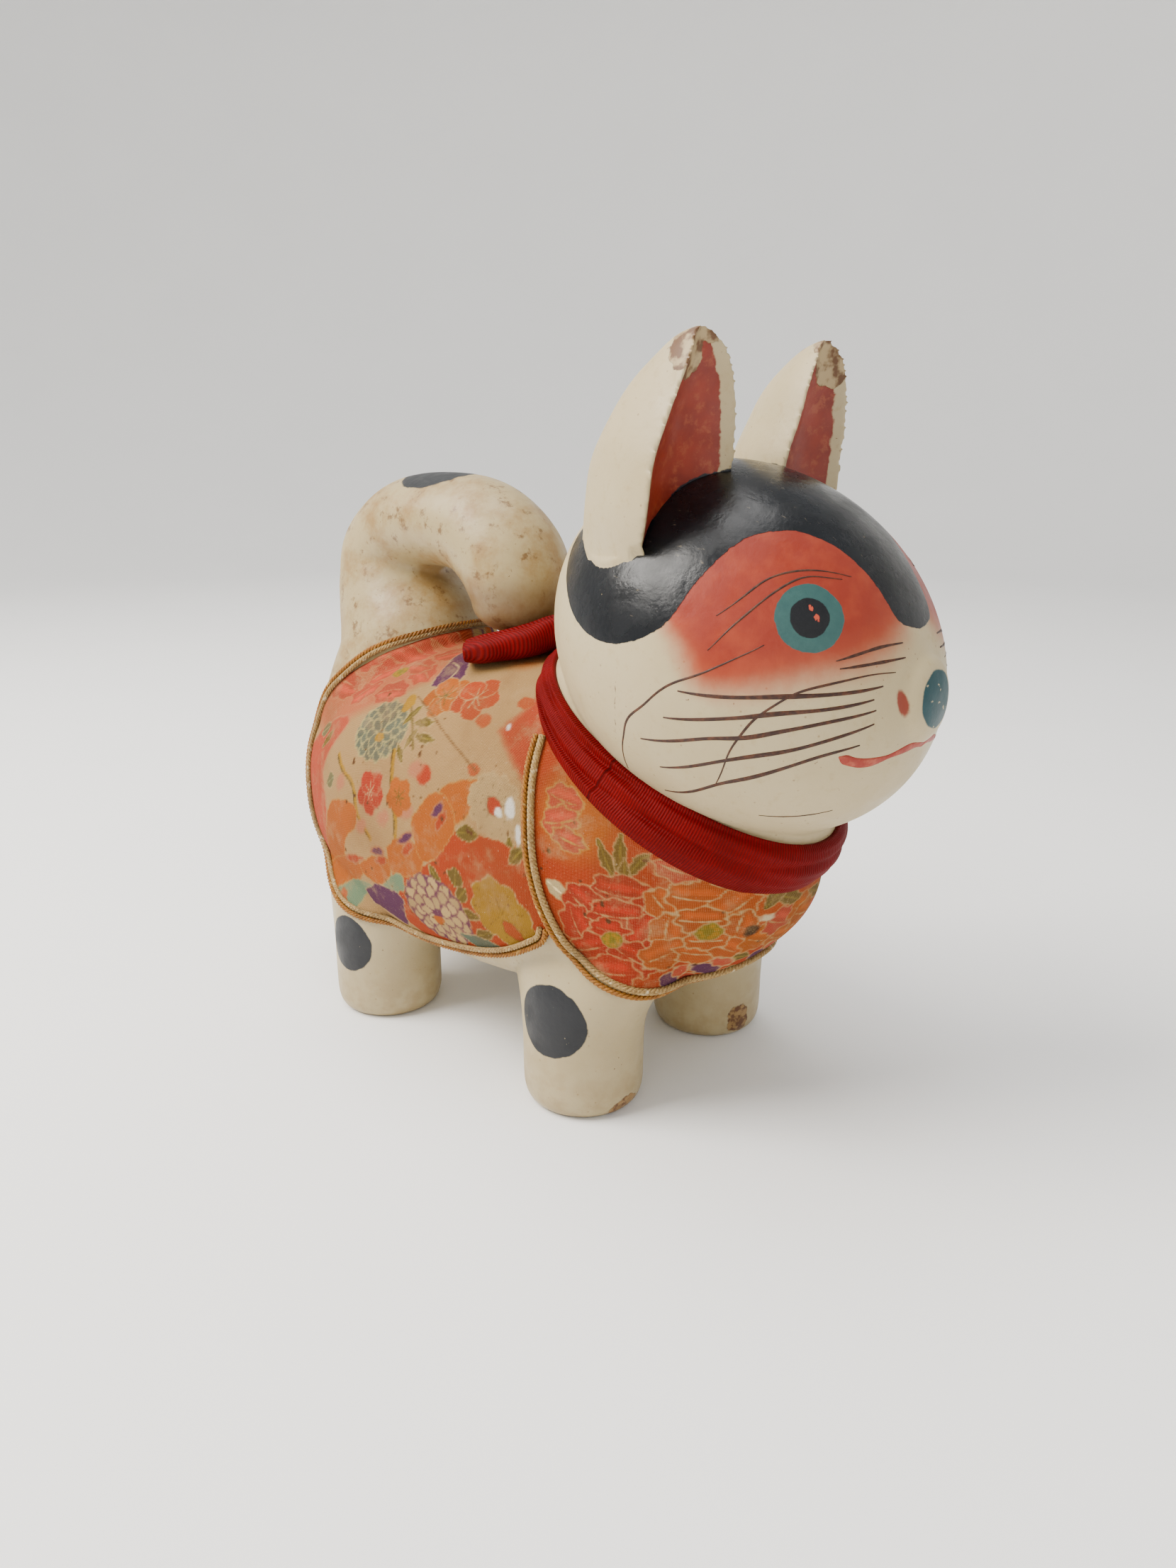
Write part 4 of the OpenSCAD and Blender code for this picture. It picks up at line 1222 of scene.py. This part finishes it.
def head_paint():
    p = Paint("face_paint", Specular_IOR_Level=0.3)
    colour, rough, height = chalk(p)
    crack = p.ramp(p.sum(p.value("crack"), p.times(p.noise(700, 2), 0.5)), 0.3, 0.55, 0.8, 0.0)
    colour = p.mix(crack, colour, rgb(120, 96, 70))
    # The patch is sharp against the cap and fades below.
    fade = p.sum(p.value("patch"), p.uneven(3.5, 240, 4, 0.6))
    red = p.mix(p.ramp(p.value("patch"), -2.0, 12.0), rgb(196, 98, 68), rgb(166, 56, 36))
    red = p.mix(p.ramp(p.noise(170, 4), 0.4, 0.75, 0, 0.35), red, rgb(210, 106, 72))
    colour = p.mix(p.ramp(fade, -8.0, 6.0, 0, 0.97), colour, red)
    worn = p.ramp(p.noise(330, 3, 0.6), 0.66, 0.69, 1.0, 0.1)
    nose = p.times(edge(p, "nose", 0.5, 300, 0.3), worn)
    colour = p.mix(nose, colour, p.mix(p.noise(150), rgb(26, 64, 72), rgb(50, 92, 96)))
    colour = p.mix(edge(p, "nostril", 0.3, 500, 0.4), colour, rgb(160, 84, 66))
    cap = edge(p, "cap", 0.55, 520, 0.16)
    scratches = p.noise(900, 3, 0.6, p.stretched(1, 0.25, 0.6))
    black = p.mix(p.ramp(p.noise(45, 3), 0.3, 0.7), rgb(12, 13, 15), rgb(24, 26, 29))
    black = p.mix(p.ramp(scratches, 0.66, 0.74, 0, 0.7), black, rgb(120, 112, 98))
    black = p.mix(p.ramp(p.noise(130, 5, 0.7), 0.7, 0.74, 0, 0.9), black, rgb(186, 172, 144))
    colour = p.mix(cap, colour, black)
    cap_rough = p.ramp(p.noise(120, 4), 0.3, 0.7, 0.2, 0.36)
    rough = p.node("ShaderNodeMix", 0, i0=cap, i2=rough, i3=cap_rough)
    eye = p.sum(p.value("eye"), p.uneven(1.2, 300))
    ring = p.mix(p.noise(420, 4), rgb(58, 90, 90), rgb(78, 110, 106))
    colour = p.mix(p.ramp(eye, RING_R - 0.15, RING_R + 0.15, 1.0, 0.0), colour, ring)
    colour = p.mix(p.ramp(eye, PUPIL_R - 0.15, PUPIL_R + 0.15, 1.0, 0.0), colour, rgb(16, 18, 22))
    colour = p.mix(edge(p, "glint", 0.5, 600, 0.12), colour, rgb(222, 110, 86))
    height = p.sum(height, p.times(cap, 0.18))
    return p.finish(colour, rough, p.bump(height, 0.5))


def ear_paint():
    p = Paint("ear_paint", Specular_IOR_Level=0.4)
    colour, rough, height = chalk(p, 0.45)
    red = p.mix(p.ramp(p.noise(75, 4), 0.35, 0.7), rgb(170, 74, 52), rgb(142, 58, 44))
    red = p.mix(p.ramp(p.noise(260, 5, 0.7), 0.5, 0.68, 0, 0.55), red, rgb(196, 120, 88))
    front = edge(p, "front", 1.3, 300, 0.25)
    colour = p.mix(front, colour, red)
    foot = edge(p, "foot", 0.9, 300, 0.2)
    colour = p.mix(foot, colour, rgb(24, 28, 34))
    peel = edge(p, "peel", 3.2, 180, 0.25)
    layers = p.mix(p.ramp(p.noise(240, 3), 0.4, 0.6), rgb(206, 186, 150), rgb(120, 88, 58))
    colour = p.mix(peel, colour, layers)
    height = p.sum(height, p.times(peel, -0.5))
    return p.finish(colour, rough, p.bump(height, 0.5))


def stroke_paint(name, dark, light):
    p = Paint(name, Specular_IOR_Level=0.35)
    colour = p.mix(p.ramp(p.noise(420, 4, 0.7), 0.4, 0.7), dark, light)
    return p.finish(colour, p.ramp(p.noise(300), 0.3, 0.7, 0.4, 0.65), p.bump(p.noise(900), 0.08))


def bare_paper():
    p = Paint("bare_paper", 0.9)
    colour = p.mix(p.noise(140, 5), rgb(150, 126, 92), rgb(186, 164, 126))
    return p.finish(colour, None, p.bump(p.noise(500, 4), 0.2))


def coat_cloth():
    p = Paint("coat_cloth", 0.9, Specular_IOR_Level=0.12)
    flat = p.vector("cloth")
    weave = p.times(p.sum(p.wave(flat, "X", 0.75, 1.2), p.wave(flat, "Y", 0.75, 1.2)), 0.5)
    crepe = p.noise(1500, 3, 0.6)
    worn = p.ramp(p.noise(95, 5, 0.7), 0.5, 0.72, 0, 0.4)
    colour = p.mix(worn, p.painted("print"), rgb(206, 178, 138))
    colour = p.mix(p.ramp(p.noise(36, 3), 0.45, 0.75, 0, 0.32), colour, rgb(128, 84, 52))
    colour = p.mix(p.ramp(weave, 0.2, 0.9, 0.34, 0.0), colour, rgb(90, 56, 38))
    colour = p.mix(p.ramp(weave, 0.72, 0.95, 0, 0.3), colour, rgb(226, 196, 150))
    colour = p.mix(p.ramp(crepe, 0.62, 0.8, 0, 0.35), colour, rgb(238, 222, 190))
    colour = p.mix(p.ramp(crepe, 0.2, 0.4, 0.3, 0.0), colour, rgb(90, 52, 36))
    height = p.sum(p.times(weave, 0.35), p.times(crepe, 0.9))
    height = p.sum(height, p.times(p.noise(110, 3), 1.6))
    return p.finish(colour, None, p.bump(height, 0.35))


def cord_material(name, dark, light, glint):
    p = Paint(name, 0.55, Specular_IOR_Level=0.3)
    fine = p.noise(1600, 3, 0.6)
    colour = p.mix(p.ramp(fine, 0.3, 0.7), dark, light)
    colour = p.mix(p.ramp(p.noise(420, 3), 0.58, 0.72, 0, 0.8), colour, glint)
    colour = p.mix(p.ramp(p.noise(60, 3), 0.5, 0.7, 0, 0.45), colour, dark * 0.6)
    return p.finish(colour, None, p.bump(fine, 0.12))


def ribbon_cloth():
    p = Paint("red_ribbon", 0.6, Specular_IOR_Level=0.08)
    ribs = p.wave(p.vector("cloth"), "X", 0.36, 0.5)
    colour = p.mix(p.ramp(p.noise(70, 4), 0.35, 0.7), rgb(130, 4, 14), rgb(150, 10, 20))
    colour = p.mix(p.ramp(ribs, 0.1, 0.9, 0.5, 0.0), colour, rgb(64, 2, 8))
    colour = p.mix(p.ramp(p.noise(900, 3), 0.66, 0.76, 0, 0.35), colour, rgb(196, 70, 66))
    height = p.sum(p.times(ribs, 1.0), p.times(p.noise(1300, 3), 0.5))
    return p.finish(colour, None, p.bump(height, 0.14))


def floor_material():
    p = Paint("floor", 0.7)
    white, shade = np.array([0.965, 0.962, 0.955]), np.array([0.945, 0.942, 0.936])
    return p.finish(p.mix(p.noise(6, 3), white, shade), None, p.bump(p.noise(300), 0.02))


# ---------------------------------------------------------------- the pieces
NECK_PLANE = (np.array([0, NECK[MID][0], NECK[MID][1]]),
              np.array([0, -math.sin(math.radians(NECK[MID][2])), math.cos(math.radians(NECK[MID][2]))]))
TAIL_PLANE = (np.array([0, 80.0, 122.0]), unit(np.array([0, 0.33, 0.945])))
MIDDLE = (np.zeros(3), np.array([1.0, 0, 0]))
HEAD_PLANE = (from_head(np.array([0, HEAD_SEAM, 0.0])), turned(np.array([0, 1.0, 0]), HEAD_TILT))


def above(points, plane):
    return (points - plane[0]) @ plane[1] > 0


def add(obj, slot, *nodes):
    """A finished piece: the CAD nodes it stands for, its material slot, and the body it rides on."""
    if nodes:
        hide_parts(*nodes)
    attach(obj, "root")
    return obj


def blobs(points, spots):
    """How far points are inside the nearest of some round spots: [x, y, z, radius, flattening in z]."""
    best = np.full(len(points), -99.0)
    for x, y, z, r, tall in spots:
        d = (points - [x, y, z]) / [1, 1, tall]
        best = np.maximum(best, r - np.linalg.norm(d, axis=1))
    return best


BODY_SPOTS = [(-53, -36, 33, 13.2, 0.88), (-52.5, 64.5, 28.5, 10.8, 0.95), (53, -30, 30, 9.5, 1.1),
              (52, 70, 34, 9.0, 1.0)]
BODY_CHIPS = [(-35, -52.5, 2, 6.0, 0.7), (28, -52.5, 7, 4.5, 1.4), (-24, -50, 1, 3.0, 0.6),
              (44, 81, 2, 4.0, 0.8)]
TAIL_SPOTS = [(-2, 62, 194, 15.0, 0.7)]


def make_body():
    legs = [leg_form(side, front) for side in (-1, 1) for front in (-1, 1)]
    surface = fuse([trunk_form(), neck_form(), tail_form()] + legs, 1.35, 10)
    surface[0][:, 2] = np.maximum(surface[0][:, 2], 0)
    planes = [MIDDLE, NECK_PLANE, TAIL_PLANE]
    cut = scored(surface, planes)
    paint, tail = body_paint(), tail_paint()
    for side, word in SIDES:
        def in_body(m):
            return (m[:, 0] * side > 0) & ~above(m, NECK_PLANE) & ~above(m, TAIL_PLANE)

        def in_tail(m):
            return (m[:, 0] * side > 0) & above(m, TAIL_PLANE)

        body = shell(f"body_{word}", cut, in_body, planes, paint)
        value_on(body, "spot", blobs(places(body), BODY_SPOTS))
        value_on(body, "chip", blobs(places(body), BODY_CHIPS))
        add(body, "painted_paper", f"body_{word}_shell")
        part = shell(f"tail_{word}", cut, in_tail, planes, tail)
        at = places(part)
        value_on(part, "spot", blobs(at, TAIL_SPOTS))
        ahead, below = np.clip((62 - at[:, 1]) / 20, 0, 1), np.clip((166 - at[:, 2]) / 12, 0, 1)
        value_on(part, "under", ahead * below)
        add(part, "painted_paper", f"tail_{word}_shell")
    return surface


def make_head():
    surface = fuse([head_form(), nose_form(), neck_form()], 1.0, 6)
    planes = [NECK_PLANE, HEAD_PLANE]
    cut = scored(surface, planes)
    paint = head_paint()
    for behind, word in ((False, "face"), (True, "back")):
        def in_half(m):
            return above(m, NECK_PLANE) & (above(m, HEAD_PLANE) == behind)

        part = shell(f"head_{word}", cut, in_half, planes, paint)
        paint_head(part)
        add(part, "painted_paper", f"head_{word}_shell")
    return surface


def make_strokes(on):
    brown = stroke_paint("line_paint", rgb(58, 34, 24), rgb(104, 66, 44))
    strips = [stroke(on, line, half, side) for half, line in STROKES.values() for side in (-1, 1)]
    add(build("painted_lines", *joined(strips), brown), "painted_paper")
    red = stroke_paint("mouth_paint", rgb(176, 74, 60), rgb(206, 118, 96))
    half, line, profile = MOUTH
    lips = [stroke(on, line, half, side, profile) for side in (-1, 1)]
    add(build("painted_mouth", *joined(lips), red), "painted_paper")


def make_ears():
    paint = ear_paint()
    for side, word in SIDES:
        points, faces = fuse([ear_form(side)], 0.8, 8)
        local = to_head(points) / HEAD_HALF
        deep = np.linalg.norm(local, axis=1)
        on_skin = from_head(unit(local) * HEAD_HALF)
        inside = EAR_PAD_R - np.linalg.norm((on_skin * [side, 1, 1] - EAR_PAD) / [1, 1.08, 1], axis=1)
        # The foot is a rounded pad that laps the head; outside it the ear's wall dips into the head.
        t = np.clip(inside / 2, 0, 1)
        least = 0.992 + 0.026 * t * t * (3 - 2 * t)
        most = 0.992 + 0.05 * np.maximum(inside + 0.5, 0) + 0.06 * np.maximum(points[:, 2] - 177, 0)
        outer = side * points[:, 0] > 30
        deep = np.where(outer, np.maximum(np.minimum(deep, most), least), np.maximum(deep, 0.992))
        points = from_head(unit(local) * deep[:, None] * HEAD_HALF)
        ear = build(f"ear_{word}_paper", points, faces, paint)
        up = (points[:, 2] - EAR_BASE) / (EAR_TIP - EAR_BASE)
        rim = [np.interp(up, EAR[:, 0], EAR[:, i]) for i in (1, 2, 3, 4)]
        across = (side * points[:, 0] - rim[0]) / np.maximum(rim[2] - rim[0], 1)
        line_y = rim[1] + (rim[3] - rim[1]) * across
        from_rim = np.minimum(side * points[:, 0] - rim[0], rim[2] - side * points[:, 0])
        value_on(ear, "front", np.where(points[:, 1] < line_y + 9, from_rim - 3.4, -4.0))
        value_on(ear, "foot", 0.4 - (deep - 1) * 52 - np.where(outer, 9, 0))
        peeled = [(side * 34, -72, 226, 7.0, 1.0), (side * 28, -74, 231, 5.0, 1.0)]
        value_on(ear, "peel", blobs(points, peeled))
        add(ear, "painted_paper", f"ear_{word}")


def saddle_flat(points):
    """The saddle print's own places, [y, round]."""
    return np.stack([points[..., 1], girth_down(points)], axis=-1)


def bib_flat(points):
    """The bib print's own places, [round, up]."""
    return np.stack([60 * np.arctan2(-points[..., 0], -(points[..., 1] + 10)), points[..., 2]], axis=-1)


def make_coat(on):
    """The two panels of the coat, each with the grid of its outer face."""
    cloth = coat_cloth()
    for word, base, fold, seed, flatten, paint in (
            ("saddle", saddle_base, 0.5, 3, saddle_flat, saddle_print),
            ("bib", bib_base, 0.4, 5, bib_flat, bib_print)):
        panel, top = cloth_sheet(f"{word}_cloth", base(on), cloth, fold, seed)
        flat = flatten(top).reshape(-1, 2)
        colour_on(panel, "print", np.vstack([paint(flat)] * 2))
        vector_on(panel, "cloth", np.vstack([np.hstack([flat, 0 * flat[:, :1]])] * 2))
        yield add(panel, "coat_cloth", f"coat_{word}"), top


def area(grid):
    a = np.cross(grid[1:, :-1] - grid[:-1, :-1], grid[:-1, 1:] - grid[:-1, :-1])
    b = np.cross(grid[:-1, 1:] - grid[1:, 1:], grid[1:, :-1] - grid[1:, 1:])
    return (np.linalg.norm(a, axis=-1).sum() + np.linalg.norm(b, axis=-1).sum()) / 2


def under_arch(middles):
    """True for the part of the body that the coat can lie on: not the tail's arch or tip."""
    top, foot_y, back_top = 152.0, 48.0, 138.0
    return (middles[:, 2] < top) & ((middles[:, 1] > foot_y) | (middles[:, 2] < back_top))


def make_cords(on):
    gold = cord_material("gold_cord", rgb(150, 96, 40), rgb(206, 154, 78), rgb(236, 204, 140))
    beige = cord_material("beige_cord", rgb(150, 120, 78), rgb(206, 180, 132), rgb(238, 226, 196))
    side = trunk_point(*smooth(SADDLE_SIDE, 8).T)
    saddle = both_sides(np.vstack([side, smooth(SADDLE_TOP, 8)[2:]]))
    # The bib's cords run on up a little, under the ribbon.
    bib = both_sides(trunk_point(*smooth([[-20.9, 45.5], *BIB_EDGE], 8).T))
    kinds = {"gold": ("outer", gold, 4.4, 3), "beige": ("inner", beige, 5.4, 4)}
    for word, panel, edge_line, inset, radius in (("gold", "saddle", saddle, 0.0, 1.0),
                                                  ("beige", "saddle", saddle, 2.1, 0.95),
                                                  ("gold", "bib", bib, 0.0, 1.0),
                                                  ("beige", "bib", bib, -2.3, 1.15)):
        which, material, pitch, strands = kinds[word]
        round_saddle = panel == "saddle"
        line, out = on_cloth(on, edge_line, 0.0, round_saddle)
        across = unit(np.cross(unit(np.gradient(line, axis=0)), out))
        line, out = on_cloth(on, line + across * inset, CLOTH + radius, round_saddle)
        clear = ~above(line - NECK_PLANE[1] * 1.5, NECK_PLANE)
        cord = twisted(f"{panel}_{word}_cord", line[clear], out[clear], radius, pitch, material, strands)
        add(cord, f"{word}_cord", f"{panel}_{which}_cord")


def bow_piece(name, form, red, node):
    points, faces = form
    obj = build(name, points, faces, red)
    vector_on(obj, "cloth", points)
    add(obj, "red_ribbon", node)


def make_ribbon():
    red = ribbon_cloth()
    outer, inner = ribbon_grid()
    band = build("ribbon_band", *closed_sheet(outer, inner, loop=True), red)
    rows, columns, _ = outer.shape
    run = run_of(outer[rows // 2])
    flat = np.zeros((rows, columns, 3))
    flat[..., 0], flat[..., 1] = run[None, :], np.arange(rows)[:, None]
    vector_on(band, "cloth", np.vstack([flat.reshape(-1, 3)] * 2))
    add(band, "red_ribbon", "neck_ribbon")
    width = length(outer[:, 0])
    area(np.concatenate([outer, outer[:, :1]], axis=1)) * MM * MM
    for side, word in SIDES:
        bow_piece(f"ribbon_loop_{word}", loop_form(side), red, f"bow_loop_{word}")
    bow_piece("ribbon_knot", knot_form(), red, "bow_knot")


def dress_inside():
    paper = bare_paper()
    for name in ("body_lap_strip", "head_lap_strip", "neck_collar", "tail_lap_strip"):
        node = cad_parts[name]
        if node.material_slots:
            for slot in node.material_slots:
                slot.material = paper
        else:
            node.data.materials.append(paper)


# ---------------------------------------------------------------- studio
def make_studio():
    """A round floor whose far edge curves up, so that no view shows a horizon, soft sky light and lamps."""
    rise = np.radians(np.linspace(0, 90, 24))
    reach = np.concatenate([[0.01, 0.5, 1.0], 1.5 + 1.0 * np.sin(rise), [2.5]])
    height = np.concatenate([[0, 0, 0], 1.0 - 1.0 * np.cos(rise), [2.6]])
    turn = np.linspace(0, 2 * np.pi, 96, endpoint=False)
    sweep = np.stack(np.broadcast_arrays(reach[:, None] * np.cos(turn), reach[:, None] * np.sin(turn),
                                         height[:, None]), axis=-1).reshape(-1, 3) / MM
    faces = grid_faces(len(reach), len(turn), loop=True).tolist() + [list(range(len(turn)))]
    floor = build("floor", sweep, faces, floor_material())
    world = bpy.data.worlds.new("studio")
    world.use_nodes = True
    sky = world.node_tree.nodes["Background"].inputs
    sky["Color"].default_value = (0.94, 0.97, 1.0, 1)
    sky["Strength"].default_value = 0.62
    bpy.context.scene.world = world
    for name, place, size, power, tint in (("key", (-0.75, 0.55, 1.1), 0.8, 36.0, (1.0, 0.96, 0.9)),
                                           ("fill", (-0.9, -1.0, 0.8), 1.4, 4.0, (1.0, 0.98, 0.95)),
                                           ("top", (0.0, 0.3, 1.5), 1.0, 17.0, (1.0, 0.98, 0.96))):
        lamp = bpy.data.lights.new(name, "AREA")
        lamp.size, lamp.energy, lamp.color = size, power, tint
        obj = linked(name, lamp)
        obj.location = place
        obj.rotation_euler = (Vector((0, 0, 0.1)) - Vector(place)).to_track_quat("-Z", "Y").to_euler()


def make_camera():
    """The photo's view: 45 degrees ahead of the dog's right side, looking 17 degrees down."""
    lens = bpy.data.cameras.new("camera")
    lens.lens, lens.sensor_width = 26.04, 36
    lens.clip_start = 0.01
    camera = linked("camera", lens)
    camera.location = (-0.278023, -0.252275, 0.205346)
    camera.rotation_euler = (math.pi / 2 - 0.297176, 0, -0.845465)
    bpy.context.scene.camera = camera


def declare_panel(panel, grid):
    """Says how the cloth of a coat panel lies flat: its length made to agree with its area, and 2% over."""
    rows, columns, _ = grid.shape
    along, down = length(grid[rows // 2]), length(grid[:, columns // 2])
    size = area(grid)


make_camera()
make_studio()
body_surface = make_body()
head_surface = make_head()
on_body = tree(body_surface, under_arch)
make_strokes(tree(head_surface))
make_ears()
for panel, grid in make_coat(on_body):
    declare_panel(panel, grid)
make_cords(on_body)
make_ribbon()
dress_inside()
